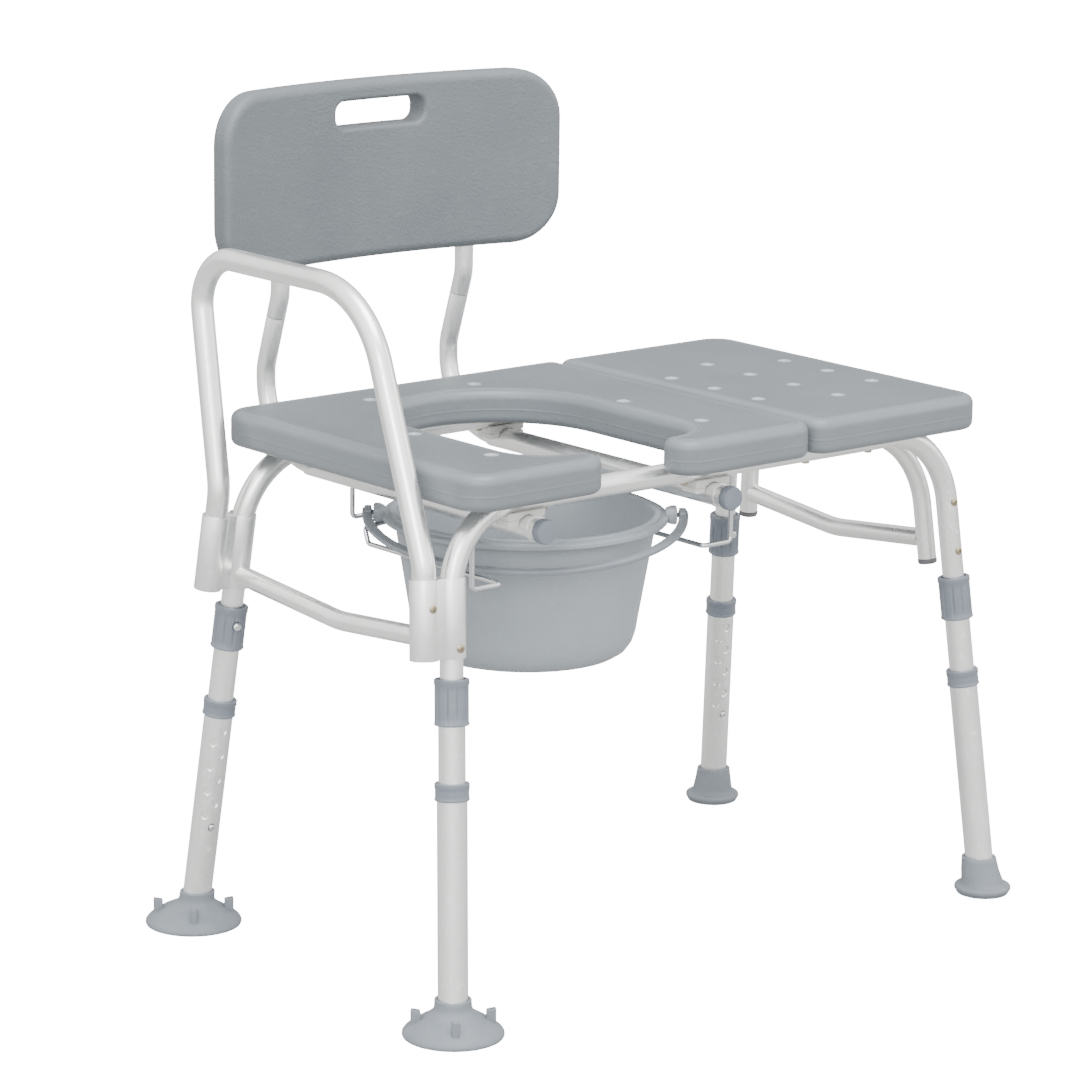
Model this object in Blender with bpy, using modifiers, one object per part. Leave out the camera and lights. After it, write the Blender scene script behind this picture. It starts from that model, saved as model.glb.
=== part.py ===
"""Bath transfer bench: two seat boards on a splayed tube frame, with an armrest on the tub end,
a pull-out backrest, a commode bucket on a wire rack and four legs that adjust for height.

Metres, +Z up. X runs along the bench, -X is the armrest end; -Y is the front. The origin is on the
floor under the middle of the overall length. The functions work from the middle of the frame, and
the last step moves everything over by CENTRE_SHIFT, because the suction feet reach out further than
the rubber tips.
"""

import math

import bmesh
import bpy
from mathutils import Matrix, Vector

# Stance: each leg axis passes through (FOOT_X, FOOT_Y) on the floor and leans inwards going up.
FOOT_X = 0.349
FOOT_Y = 0.207
LEAN_X = 0.069
LEAN_Y = 0.1064

CENTRE_SHIFT = 0.0095

# Tubes
FRAME_TUBE = 0.0222
FRAME_WALL = 0.0014
FRAME_BEND = 0.080
LEG_TUBE = 0.0254
LEG_WALL = 0.0012
EXTENSION_TUBE = 0.0286
BRACE_TUBE = 0.019
POST_TUBE = 0.019
WIRE = 0.005
TUBE_SMOOTHNESS = 3
WIRE_SMOOTHNESS = 1
BEND_STEPS = 5
TURN_STEPS = 16
RUNNING_GAP = 0.0004
REST_GAP = 0.0003
CHANNEL_GAP = 0.0004

# Heights above the floor
SEAT_TOP = 0.524
SEAT_THICK = 0.034
RAIL_Z = 0.4835
RECEIVER_Z = 0.460
COLLAR_LOW = 0.288
COLLAR_HIGH = 0.331
LEG_TUBE_LOW = 0.096
FRAME_TUBE_LOW = 0.262
EXTENSION_HIGH = 0.218
EXTENSION_LOW = 0.012
SMALL_COLLAR_HIGH = 0.235
SLEEVE_LOW = 0.350
SLEEVE_HIGH = 0.424

# Seat plan
SEAT_HALF_LENGTH = 0.328
SEAT_FRONT = -0.206
SEAT_REAR = 0.190
BOARD_GAP_X = 0.098
BOARD_GAP = 0.004
OPENING_X = -0.117
OPENING_HALF = 0.1075
OPENING_REAR = 0.118
OPENING_FRONT = -0.163
MOUTH_HALF = 0.046
EDGE_ROUND = 0.007
DRAIN_HOLE = 0.008

# Leg hardware
COLLAR_OUTER = 0.033
HOLE_PITCH = 0.0252
BUTTON_HOLE_Z = 0.105
BUTTON_Z = 0.3135
HOLE_DIAMETER = 0.0074
HOLE_ANGLES = (math.radians(260), math.radians(225))
SUCTION_RADIUS = 0.048
TIP_RADIUS = 0.029

# Bucket and its rack
BUCKET_Y = -0.024
BUCKET_RIM_Z = 0.434
BUCKET_BASE_Z = 0.294
BUCKET_WALL = 0.0025
RIM_RADIUS = 0.139
LUG_OUTER = 0.1472
BAIL_PIVOT_Z = 0.430
BAIL_INNER = 0.1486
BAIL_OUTER = 0.1584
BAIL_THICK = 0.005
BAIL_TURN = math.radians(-39)
BAIL_DROOP = math.radians(8.0)
WIRE_RUN_Z = 0.402
WIRE_RUN_X = 0.127
WIRE_FRONT_X = 0.162
WIRE_FRONT_Y = -0.142

# Armrest and backrest
ARM_OFFSET = 0.032
ARM_TOP = 0.675
SLEEVE_OUTER = 0.0272
BACK_SPREAD = 0.116
BACK_BEHIND = 0.2415
BACK_FORWARD = 0.2175
POST_JOINT_Z = 0.600
PANEL_LOW = 0.650
PANEL_HIGH = 0.828
PANEL_HALF = 0.2105
PANEL_THICK = 0.028
PANEL_CURVE = 0.66
PANEL_Y = 0.222
PANEL_CORNER = 0.050
SLOT_Z = 0.795
SLOT_LENGTH = 0.104
SLOT_HEIGHT = 0.032


def clear_scene():
    for obj in list(bpy.data.objects):
        bpy.data.objects.remove(obj, do_unlink=True)


def new_collection(name):
    collection = bpy.data.collections.new(name)
    bpy.context.scene.collection.children.link(collection)
    return collection


clear_scene()
BENCH = new_collection("bath_transfer_bench")
CUTTERS = new_collection("cutters")


def material(name, colour, roughness, metallic):
    made = bpy.data.materials.new(name)
    made.use_nodes = True
    shader = made.node_tree.nodes["Principled BSDF"]
    shader.inputs["Base Color"].default_value = (*colour, 1.0)
    shader.inputs["Roughness"].default_value = roughness
    shader.inputs["Metallic"].default_value = metallic
    return made


ALUMINIUM = material("satin_aluminium", (0.76, 0.76, 0.73), 0.38, 0.85)
BOARD_PLASTIC = material("grey_board_plastic", (0.34, 0.37, 0.39), 0.6, 0.0)
FITTING_PLASTIC = material("grey_fitting_plastic", (0.32, 0.35, 0.38), 0.5, 0.0)
BUCKET_PLASTIC = material("light_grey_bucket_plastic", (0.47, 0.5, 0.53), 0.45, 0.0)
RUBBER = material("grey_rubber", (0.3, 0.33, 0.36), 0.75, 0.0)
ZINC_WIRE = material("bright_wire", (0.7, 0.72, 0.72), 0.25, 1.0)
BUTTON_STEEL = material("button_steel", (0.72, 0.73, 0.74), 0.25, 1.0)
SADDLE_PLASTIC = material("white_saddle_plastic", (0.8, 0.8, 0.77), 0.5, 0.0)


def add(obj, finish, parent=None, collection=BENCH):
    collection.objects.link(obj)
    obj.data.materials.append(finish)
    obj.parent = parent
    return obj


def add_cutter(obj):
    obj.hide_render = True
    obj.display_type = "WIRE"
    CUTTERS.objects.link(obj)
    return obj


def cut(obj, cutter, operation="DIFFERENCE"):
    modifier = obj.modifiers.new(cutter.name, "BOOLEAN")
    modifier.operation = operation
    modifier.solver = "EXACT"
    modifier.object = cutter


def fillet(before, corner, after, radius, steps):
    """Points of the arc that rounds one corner of a path."""
    to_before = (before - corner).normalized()
    to_after = (after - corner).normalized()
    half = to_before.angle(to_after) / 2
    reach = radius / math.tan(half)
    centre = corner + (to_before + to_after).normalized() * radius / math.sin(half)
    start = corner + to_before * reach - centre
    end = corner + to_after * reach - centre
    axis = start.cross(end).normalized()
    sweep = start.angle(end)
    return [
        centre + Matrix.Rotation(sweep * i / steps, 3, axis) @ start
        for i in range(steps + 1)
    ]


def rounded_path(corners, radii, steps=BEND_STEPS):
    """An open path through the corners, each inner one rounded by its radius."""
    corners = [Vector(c) for c in corners]
    points = [corners[0]]
    for i, radius in enumerate(radii, start=1):
        points += fillet(corners[i - 1], corners[i], corners[i + 1], radius, steps)
    return points + [corners[-1]]


def rounded_outline(corners, steps=BEND_STEPS):
    """A closed flat outline through (x, y, radius) corners."""
    spots = [Vector((x, y, 0)) for x, y, _ in corners]
    points = []
    for i, (_, _, radius) in enumerate(corners):
        points += fillet(spots[i - 1], spots[i], spots[(i + 1) % len(spots)], radius, steps)
    return points


def poly_curve(name, points, cyclic=False):
    curve = bpy.data.curves.new(name, "CURVE")
    spline = curve.splines.new("POLY")
    spline.points.add(len(points) - 1)
    for spot, point in zip(spline.points, points):
        spot.co = (*point, 1)
    spline.use_cyclic_u = cyclic
    return curve


def tube(name, points, diameter, wall=None, smoothness=TUBE_SMOOTHNESS):
    """A round tube along the points: hollow with open ends if it has a wall, else a capped rod."""
    curve = poly_curve(name, points)
    curve.dimensions = "3D"
    curve.bevel_depth = diameter / 2
    curve.bevel_resolution = smoothness
    curve.use_fill_caps = wall is None
    obj = bpy.data.objects.new(name, curve)
    if wall:
        shell = obj.modifiers.new("wall", "SOLIDIFY")
        shell.thickness = wall
        shell.offset = -1
    return obj


def plate(name, outlines, thickness):
    """A flat plate in the XY plane, centred on z = 0, from closed outlines; inner ones are holes."""
    curve = poly_curve(name, outlines[0], cyclic=True)
    for outline in outlines[1:]:
        hole = curve.splines.new("POLY")
        hole.points.add(len(outline) - 1)
        for spot, point in zip(hole.points, outline):
            spot.co = (*point, 1)
        hole.use_cyclic_u = True
    curve.dimensions = "2D"
    curve.fill_mode = "BOTH"
    curve.extrude = thickness / 2
    return bpy.data.objects.new(name, curve)


def as_mesh(source, flat_angle=None):
    """The same piece as a welded mesh, ready for a Boolean; the curve is removed."""
    name = source.name
    place = source.matrix_basis.copy()
    bpy.context.scene.collection.objects.link(source)
    evaluated = source.evaluated_get(bpy.context.evaluated_depsgraph_get())
    mesh = bpy.data.meshes.new_from_object(evaluated)
    bpy.data.objects.remove(source)
    welded = bmesh.new()
    welded.from_mesh(mesh)
    bmesh.ops.remove_doubles(welded, verts=welded.verts, dist=1e-5)
    if flat_angle:
        bmesh.ops.dissolve_limit(
            welded, angle_limit=flat_angle, verts=welded.verts, edges=welded.edges
        )
    bmesh.ops.recalc_face_normals(welded, faces=welded.faces)
    welded.to_mesh(mesh)
    welded.free()
    obj = bpy.data.objects.new(name, mesh)
    obj.matrix_basis = place
    return obj


def turned(name, profile, steps=TURN_STEPS, closed=False):
    """A profile of (radius, height) turned about Z; it runs down the outer side."""
    mesh = bpy.data.meshes.new(name)
    edges = [(i, i + 1) for i in range(len(profile) - 1)]
    if closed:
        edges.append((len(profile) - 1, 0))
    mesh.from_pydata([(r, 0, h) for r, h in profile], edges, [])
    obj = bpy.data.objects.new(name, mesh)
    screw = obj.modifiers.new("turn", "SCREW")
    screw.axis = "Z"
    screw.steps = steps
    screw.render_steps = steps
    screw.use_merge_vertices = True
    screw.merge_threshold = 1e-5
    return obj


def ring(name, inner, outer, low, high, steps=TURN_STEPS):
    return turned(name, [(outer, high), (outer, low), (inner, low), (inner, high)], steps, True)


def rod(name, start, end, radius, steps=TURN_STEPS):
    """A solid cylinder from one point to another."""
    start = Vector(start)
    along = Vector(end) - start
    mesh = bpy.data.meshes.new(name)
    body = bmesh.new()
    bmesh.ops.create_cone(
        body, cap_ends=True, segments=steps, radius1=radius, radius2=radius, depth=along.length
    )
    body.to_mesh(mesh)
    body.free()
    mesh.shade_smooth()
    mesh.set_sharp_from_angle(angle=math.radians(40))
    obj = bpy.data.objects.new(name, mesh)
    obj.rotation_mode = "QUATERNION"
    obj.rotation_quaternion = Vector((0, 0, 1)).rotation_difference(along)
    obj.location = start + along / 2
    return obj


def block(name, centre, size, turn=0.0):
    mesh = bpy.data.meshes.new(name)
    body = bmesh.new()
    bmesh.ops.create_cube(body, size=1.0, matrix=Matrix.Diagonal((*size, 1.0)))
    body.to_mesh(mesh)
    body.free()
    obj = bpy.data.objects.new(name, mesh)
    obj.location = centre
    obj.rotation_euler = (0, 0, turn)
    return obj


def round_edges(obj, width, segments=2):
    bevel = obj.modifiers.new("rounded_edges", "BEVEL")
    bevel.width = width
    bevel.segments = segments
    bevel.limit_method = "ANGLE"
    bevel.angle_limit = math.radians(50)


# Legs


def leg_point(side_x, side_y, z):
    """Where a leg's axis is at a height."""
    return Vector((side_x * (FOOT_X - LEAN_X * z), side_y * (FOOT_Y - LEAN_Y * z), z))


def up_leg(z):
    """Distance along a leg's axis from the floor to a height."""
    return z * math.sqrt(1 + LEAN_X**2 + LEAN_Y**2)


def leg_frame(name, side_x, side_y):
    """An empty at the foot of a leg whose +Z runs up the leg."""
    empty = bpy.data.objects.new(name + "_axis", None)
    BENCH.objects.link(empty)
    axis = leg_point(side_x, side_y, 1) - leg_point(side_x, side_y, 0)
    empty.location = leg_point(side_x, side_y, 0)
    empty.rotation_mode = "QUATERNION"
    empty.rotation_quaternion = Vector((0, 0, 1)).rotation_difference(axis)
    return empty


def radial(angle, radius, height):
    return Vector((radius * math.cos(angle), radius * math.sin(angle), height))


def drill(name, parent, angle, height, near, far, diameter=HOLE_DIAMETER):
    """A cutter for one hole square to a leg's axis."""
    cutter = rod(
        name, radial(angle, near, height), radial(angle, far, height), diameter / 2, steps=8
    )
    add_cutter(cutter)
    cutter.parent = parent
    return cutter


def hole_heights(column):
    """The first column has the button's hole and four above it; the second lies half a pitch up."""
    first = BUTTON_HOLE_Z + column * HOLE_PITCH / 2
    return [first + i * HOLE_PITCH for i in range(5 - column)]


def leg_extension(name, frame, turn):
    outer = EXTENSION_TUBE / 2
    piece = ring(
        name + "_leg_extension",
        LEG_TUBE / 2 + RUNNING_GAP,
        outer,
        up_leg(EXTENSION_LOW),
        up_leg(EXTENSION_HIGH),
    )
    add(piece, ALUMINIUM, frame)
    for column, angle in enumerate(HOLE_ANGLES):
        for i, z in enumerate(hole_heights(column)):
            hole = drill(
                f"{name}_hole_{column}_{i}", frame, angle + turn, up_leg(z), outer / 2, outer * 1.5
            )
            cut(piece, hole)


def suction_foot_profile():
    """A cup that grips the tub: thick neck, thin domed skirt, shallow hollow underneath."""
    return [
        (0.0, 0.0115),
        (0.0152, 0.0115),
        (0.0152, 0.034),
        (0.0185, 0.034),
        (0.0195, 0.024),
        (0.027, 0.018),
        (0.041, 0.010),
        (SUCTION_RADIUS, 0.003),
        (SUCTION_RADIUS, 0.0),
        (SUCTION_RADIUS - 0.006, 0.0),
        (0.024, 0.005),
        (0.0, 0.0055),
    ]


def rubber_tip_profile():
    """A conical tip with a flanged base."""
    return [
        (0.0, 0.0115),
        (0.0152, 0.0115),
        (0.0152, 0.038),
        (0.0175, 0.038),
        (0.0195, 0.028),
        (0.0245, 0.011),
        (TIP_RADIUS, 0.009),
        (TIP_RADIUS, 0.0),
        (0.0, 0.0),
    ]


def release_tab(name, centre, angle):
    """An upright tongue at the rim of a suction foot that lifts the cup off the tub."""
    spot = centre + radial(angle, 0.036, 0.016)
    tab = block(name, spot, (0.008, 0.012, 0.022), angle)
    add_cutter(tab)
    return tab


def foot(name, side_x, side_y):
    """The foot sits level on the floor; its socket follows the leaning extension."""
    profile = suction_foot_profile() if side_x < 0 else rubber_tip_profile()
    piece = turned(name + "_foot", profile)
    piece.location = leg_point(side_x, side_y, 0)
    add(piece, RUBBER)
    socket = rod(
        name + "_socket",
        leg_point(side_x, side_y, EXTENSION_LOW - REST_GAP),
        leg_point(side_x, side_y, 0.06),
        EXTENSION_TUBE / 2 + REST_GAP * 2,
        steps=TURN_STEPS,
    )
    if side_x < 0:
        for i in range(4):
            tab = release_tab(f"{name}_tab_{i}", piece.location, math.radians(55 + 90 * i))
            cut(piece, tab, "UNION")
    add_cutter(socket)
    cut(piece, socket)


def snap_button(name, radius, height):
    """A domed pin standing on z = 0."""
    shoulder = height - radius / 2
    profile = [
        (0.0, height),
        (radius * 0.6, height - radius / 10),
        (radius, shoulder),
        (radius, 0.0),
        (0.0, 0.0),
    ]
    return turned(name, profile, 12)


def leg(name, side_x, side_y):
    """One leg: the inner tube is fixed to the frame, and the extension slides on it."""
    frame = leg_frame(name, side_x, side_y)
    turn = 0.0 if side_y > 0 else math.pi
    button_angle = HOLE_ANGLES[0] + turn
    inner_radius = LEG_TUBE / 2
    tube_piece = ring(
        name + "_leg_tube",
        inner_radius - LEG_WALL,
        inner_radius,
        up_leg(LEG_TUBE_LOW),
        up_leg(COLLAR_HIGH - 0.002),
    )
    add(tube_piece, ALUMINIUM, frame)
    collar = ring(
        name + "_leg_collar",
        inner_radius + REST_GAP,
        COLLAR_OUTER / 2,
        up_leg(COLLAR_LOW),
        up_leg(COLLAR_HIGH),
    )
    add(collar, FITTING_PLASTIC, frame)
    bore = drill(
        name + "_button_bore", frame, button_angle, up_leg(BUTTON_Z), 0.006, 0.020, 0.0094
    )
    cut(tube_piece, bore)
    cut(collar, bore)
    peg_bore = drill(
        name + "_peg_bore", frame, button_angle, up_leg(BUTTON_HOLE_Z), 0.006, 0.014, 0.0094
    )
    cut(tube_piece, peg_bore)
    button = snap_button(name + "_collar_button", 0.0042, 0.0085)
    face = COLLAR_OUTER / 2 - 0.0055
    button.location = radial(button_angle, face, up_leg(BUTTON_Z))
    button.rotation_mode = "QUATERNION"
    button.rotation_quaternion = Vector((0, 0, 1)).rotation_difference(radial(button_angle, 1, 0))
    add(button, BUTTON_STEEL, frame)
    leg_extension(name, frame, turn)
    small = ring(
        name + "_extension_collar",
        inner_radius + RUNNING_GAP,
        COLLAR_OUTER / 2,
        up_leg(EXTENSION_HIGH) + REST_GAP,
        up_leg(SMALL_COLLAR_HIGH),
    )
    add(small, FITTING_PLASTIC, frame)
    peg = snap_button(name + "_height_button", 0.0033, 0.0030)
    peg.location = radial(button_angle, inner_radius + RUNNING_GAP, up_leg(BUTTON_HOLE_Z))
    peg.rotation_mode = "QUATERNION"
    peg.rotation_quaternion = Vector((0, 0, 1)).rotation_difference(radial(button_angle, 1, 0))
    add(peg, BUTTON_STEEL, frame)
    foot(name, side_x, side_y)
    return bore


# Frame


def rail_end(side_x, side_y):
    """Where a leg's axis meets the height of the seat rails."""
    return leg_point(side_x, side_y, RAIL_Z)


def frame_path(side_y):
    """An inverted U: one rail under the seat and the tops of two legs."""
    corners = [
        leg_point(-1, side_y, FRAME_TUBE_LOW),
        rail_end(-1, side_y),
        rail_end(1, side_y),
        leg_point(1, side_y, FRAME_TUBE_LOW),
    ]
    return rounded_path(corners, [FRAME_BEND] * 2)


def frame_channel(name, side_y):
    """The space a frame tube takes up, as a cutter for the pieces that it lies in."""
    bore = tube(name + "_channel", frame_path(side_y), FRAME_TUBE + 2 * CHANNEL_GAP)
    return add_cutter(as_mesh(bore))


def frame_tube(name, side_y, bores):
    piece = as_mesh(tube(name, frame_path(side_y), FRAME_TUBE, FRAME_WALL))
    add(piece, ALUMINIUM)
    for bore in bores:
        cut(piece, bore)


def cross_brace(name, x, half_length):
    """A side brace that dips in the middle."""
    corners = [(x, half_length, 0.363), (x, 0, 0.350), (x, -half_length, 0.363)]
    add(tube(name, rounded_path(corners, [0.12]), BRACE_TUBE, FRAME_WALL), ALUMINIUM)


def stub_offset(side_y, z):
    """Where a stub tube's axis is at a height: beside the leg, 36 mm further in."""
    return leg_point(1, side_y, z) - Vector((0, side_y * 0.036, 0))


def stub_tube(name, side_y):
    """The short bent tube beside a right-hand leg that carries the right brace."""
    low = stub_offset(side_y, 0.343)
    top = stub_offset(side_y, 0.480)
    inner = top - Vector((0.115, 0, 0))
    path = rounded_path([low, top, inner], [0.088])
    add(tube(name + "_stub_tube", path, BRACE_TUBE, FRAME_WALL), ALUMINIUM)
    cap_low = stub_offset(side_y, 0.337)
    cap_high = stub_offset(side_y, 0.3425)
    add(rod(name + "_stub_cap", cap_low, cap_high, BRACE_TUBE / 2 + 0.0004), FITTING_PLASTIC)


def circle(x, radius, count, start=0.0):
    """Points round a circle centred on (x, 0)."""
    return [
        Vector((x + radius * math.cos(start + a), radius * math.sin(start + a), 0))
        for a in (2 * math.pi * i / count for i in range(count))
    ]


def sleeve_section():
    """The extruded double sleeve: the leg's ring at x = 0, the armrest's at -ARM_OFFSET."""
    radius = SLEEVE_OUTER / 2
    waist = math.radians(32)
    steps = 12
    leg_arc = [
        radius * Vector((math.cos(a), math.sin(a), 0))
        for a in (-math.pi + waist + (2 * math.pi - 2 * waist) * i / steps for i in range(steps + 1))
    ]
    arm_arc = [
        Vector((-ARM_OFFSET + radius * math.cos(a), radius * math.sin(a), 0))
        for a in (waist + (2 * math.pi - 2 * waist) * i / steps for i in range(steps + 1))
    ]
    bore = FRAME_TUBE / 2 + 0.0005
    return [leg_arc + arm_arc, circle(0, bore, 16), circle(-ARM_OFFSET, bore, 16)]


def sleeve_bracket(name, side_y, channel):
    length = up_leg(SLEEVE_HIGH) - up_leg(SLEEVE_LOW)
    piece = plate(name, sleeve_section(), length)
    piece.location = (0, 0, (up_leg(SLEEVE_HIGH) + up_leg(SLEEVE_LOW)) / 2)
    piece = as_mesh(piece)
    frame = bpy.data.objects[("front_left" if side_y < 0 else "rear_left") + "_axis"]
    add(piece, ALUMINIUM, frame)
    cut(piece, channel)


def arm_point(side_y, z):
    """The armrest stands in the plane of its sleeves, outboard of the left legs."""
    return leg_point(-1, side_y, z) - Vector((ARM_OFFSET, 0, 0))


def armrest():
    """One bent tube: its two legs stand in the outboard sleeves."""
    plane_x = -(FOOT_X - LEAN_X * ARM_TOP) - ARM_OFFSET
    corners = [
        arm_point(1, SLEEVE_LOW + 0.003),
        arm_point(1, 0.452),
        (plane_x, 0.2155, ARM_TOP),
        (plane_x, -0.051, ARM_TOP),
        arm_point(-1, 0.439),
        arm_point(-1, SLEEVE_LOW + 0.003),
    ]
    path = rounded_path(corners, [0.07, 0.045, 0.11, 0.05], 5)
    add(tube("armrest_tube", path, FRAME_TUBE, FRAME_WALL), ALUMINIUM)


# Seat


def rail_y(side_y):
    return side_y * (FOOT_Y - LEAN_Y * RAIL_Z)


def seat_board(name, outline, holes, channels):
    """A board with soft edges, channels for the rails and drain holes."""
    piece = plate(name, [outline], SEAT_THICK)
    piece.location = (0, 0, SEAT_TOP - SEAT_THICK / 2)
    piece = as_mesh(piece, math.radians(1))
    add(piece, BOARD_PLASTIC)
    round_edges(piece, EDGE_ROUND)
    for channel in channels:
        cut(piece, channel)
    for i, (x, y) in enumerate(holes):
        start = (x, y, SEAT_TOP - SEAT_THICK - 0.01)
        drain = rod(f"{name}_drain_{i}", start, (x, y, SEAT_TOP + 0.01), DRAIN_HOLE / 2, 8)
        cut(piece, add_cutter(drain))


def commode_board_outline():
    """A U open to the front: an egg-shaped opening with a narrow mouth between two prongs."""
    left = OPENING_X - OPENING_HALF
    right = OPENING_X + OPENING_HALF
    inner = BOARD_GAP_X - BOARD_GAP / 2
    return rounded_outline(
        [
            (-SEAT_HALF_LENGTH, SEAT_FRONT, 0.030),
            (OPENING_X - MOUTH_HALF, SEAT_FRONT, 0.022),
            (OPENING_X - MOUTH_HALF, OPENING_FRONT, 0.015),
            (left, OPENING_FRONT, 0.045),
            (left, OPENING_REAR, 0.105),
            (right, OPENING_REAR, 0.105),
            (right, OPENING_FRONT, 0.045),
            (OPENING_X + MOUTH_HALF, OPENING_FRONT, 0.015),
            (OPENING_X + MOUTH_HALF, SEAT_FRONT, 0.022),
            (inner, SEAT_FRONT, 0.014),
            (inner, SEAT_REAR, 0.014),
            (-SEAT_HALF_LENGTH, SEAT_REAR, 0.030),
        ]
    )


def transfer_board_outline():
    inner = BOARD_GAP_X + BOARD_GAP / 2
    return rounded_outline(
        [
            (inner, SEAT_FRONT, 0.014),
            (SEAT_HALF_LENGTH, SEAT_FRONT, 0.030),
            (SEAT_HALF_LENGTH, SEAT_REAR, 0.030),
            (inner, SEAT_REAR, 0.014),
        ]
    )


def transfer_board_holes():
    """Three staggered rows: four holes in the middle one, three in the others."""
    row_gap = 0.078
    pitch = 0.0646
    first_x = 0.1294
    middle_y = -0.022
    rows = []
    for row, count in enumerate((3, 4, 3)):
        for i in range(count):
            rows.append((first_x + row * row_gap, middle_y + (i - (count - 1) / 2) * pitch))
    return rows


def commode_board_holes():
    """Mirrored about the opening: two beside it and one behind it on each side."""
    spots = [(0.131, -0.016), (0.131, -0.131), (0.066, 0.137)]
    return [(OPENING_X + side * x, y) for x, y in spots for side in (-1, 1)]


# Backrest receivers and posts


def saddle(name, x, side_y, channels):
    """The block that hangs a receiver tube under a rail."""
    piece = block(name, (x, rail_y(side_y), 0.4685), (0.044, 0.022, 0.013))
    add(piece, SADDLE_PLASTIC)
    for channel in channels:
        cut(piece, channel)


def receiver(name, x):
    """A tube under the seat, open at the rear for the back post and capped at the front."""
    front = -0.186
    rear = 0.168
    path = [(x, rear, RECEIVER_Z), (x, front, RECEIVER_Z)]
    add(tube(name + "_back_receiver", path, FRAME_TUBE, 0.0010), ALUMINIUM)
    cap_rear = (x, front - REST_GAP, RECEIVER_Z)
    cap_front = (x, front - 0.010, RECEIVER_Z)
    cap = rod(name + "_receiver_cap", cap_rear, cap_front, 0.0118)
    add(cap, FITTING_PLASTIC)
    round_edges(cap, 0.0015, 1)
    start = (x, -0.3, RECEIVER_Z)
    end = (x, 0.3, RECEIVER_Z)
    channel = rod(name + "_receiver_channel", start, end, FRAME_TUBE / 2 + CHANNEL_GAP * 2)
    return add_cutter(channel)


def post_path(x):
    """From inside the receiver, out behind the seat, up and forward to the panel."""
    corners = [
        (x, 0.030, RECEIVER_Z),
        (x, BACK_BEHIND, RECEIVER_Z),
        (x, BACK_BEHIND, 0.547),
        (x, BACK_FORWARD, 0.622),
        (x, BACK_FORWARD, 0.745),
    ]
    return rounded_path(corners, [0.075, 0.05, 0.05])


def split_path(path, z, gap):
    """The path below a height and the path above it, with a gap between them."""
    index = next(i for i, p in enumerate(path) if p.z > z)
    low, high = path[index - 1], path[index]
    seam = low.lerp(high, (z - low.z) / (high.z - low.z))
    along = (high - low).normalized()
    return path[:index] + [seam - along * gap / 2], [seam + along * gap / 2] + path[index:]


def back_post(name, x):
    lower, upper = split_path(post_path(x), POST_JOINT_Z, 0.0006)
    add(tube(name + "_back_post", lower, POST_TUBE, 0.0012), ALUMINIUM)
    add(tube(name + "_upper_post", upper, POST_TUBE, 0.0012), ALUMINIUM)


def panel_bow(x):
    """How far the panel's middle surface lies behind its ends' plane at a distance from centre."""
    return PANEL_Y - x**2 / (2 * PANEL_CURVE)


def bend_panel(mesh):
    """Slice the flat panel across its width and lay the slices on the curve."""
    bent = bmesh.new()
    bent.from_mesh(mesh)
    slices = 12
    for i in range(1, slices):
        x = -PANEL_HALF + 2 * PANEL_HALF * i / slices
        bmesh.ops.bisect_plane(
            bent,
            geom=bent.verts[:] + bent.edges[:] + bent.faces[:],
            plane_co=(x, 0, 0),
            plane_no=(1, 0, 0),
        )
    for vertex in bent.verts:
        x, z, y = vertex.co
        vertex.co = (OPENING_X + x, panel_bow(x) - y, z)
    bmesh.ops.recalc_face_normals(bent, faces=bent.faces)
    bent.to_mesh(mesh)
    bent.free()


def back_panel():
    """A bowed panel with a handle slot; the posts stand in channels in its rear."""
    corners = [
        (-PANEL_HALF, PANEL_LOW, PANEL_CORNER),
        (PANEL_HALF, PANEL_LOW, PANEL_CORNER),
        (PANEL_HALF, PANEL_HIGH, PANEL_CORNER),
        (-PANEL_HALF, PANEL_HIGH, PANEL_CORNER),
    ]
    piece = as_mesh(plate("back_panel", [rounded_outline(corners)], PANEL_THICK), math.radians(1))
    bend_panel(piece.data)
    add(piece, BOARD_PLASTIC)
    round_edges(piece, 0.009)
    half_length = SLOT_LENGTH / 2
    half_height = SLOT_HEIGHT / 2
    slot_round = half_height * 0.98
    slot = plate(
        "handle_slot",
        [
            rounded_outline(
                [
                    (-half_length, -half_height, slot_round),
                    (half_length, -half_height, slot_round),
                    (half_length, half_height, slot_round),
                    (-half_length, half_height, slot_round),
                ],
                4,
            )
        ],
        0.12,
    )
    slot.rotation_euler = (math.radians(90), 0, 0)
    slot.location = (OPENING_X, PANEL_Y, SLOT_Z)
    cut(piece, add_cutter(as_mesh(slot)))
    for side in (-1, 1):
        x = OPENING_X + side * BACK_SPREAD
        low = (x, BACK_FORWARD, PANEL_LOW - 0.02)
        high = (x, BACK_FORWARD, 0.7455)
        channel = rod(f"panel_channel_{side + 1}", low, high, POST_TUBE / 2 + 0.0004, 16)
        cut(piece, add_cutter(channel))


# Bucket


def bucket_profile():
    """Inside floor, up the inner wall, over the rim and down the outside."""
    wall = BUCKET_WALL
    return [
        (0.0, BUCKET_BASE_Z + wall),
        (0.086, BUCKET_BASE_Z + wall),
        (0.101, BUCKET_BASE_Z + 0.010),
        (0.1085, BUCKET_BASE_Z + 0.032),
        (0.1238, BUCKET_RIM_Z - 0.012),
        (0.1258, BUCKET_RIM_Z),
        (RIM_RADIUS, BUCKET_RIM_Z),
        (RIM_RADIUS, BUCKET_RIM_Z - 0.008),
        (RIM_RADIUS - 0.003, BUCKET_RIM_Z - 0.008),
        (RIM_RADIUS - 0.003, BUCKET_RIM_Z - 0.003),
        (0.1282, BUCKET_RIM_Z - 0.003),
        (0.1264, BUCKET_RIM_Z - 0.014),
        (0.1111, BUCKET_BASE_Z + 0.032),
        (0.1035, BUCKET_BASE_Z + 0.008),
        (0.088, BUCKET_BASE_Z),
        (0.0, BUCKET_BASE_Z),
    ]


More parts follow.
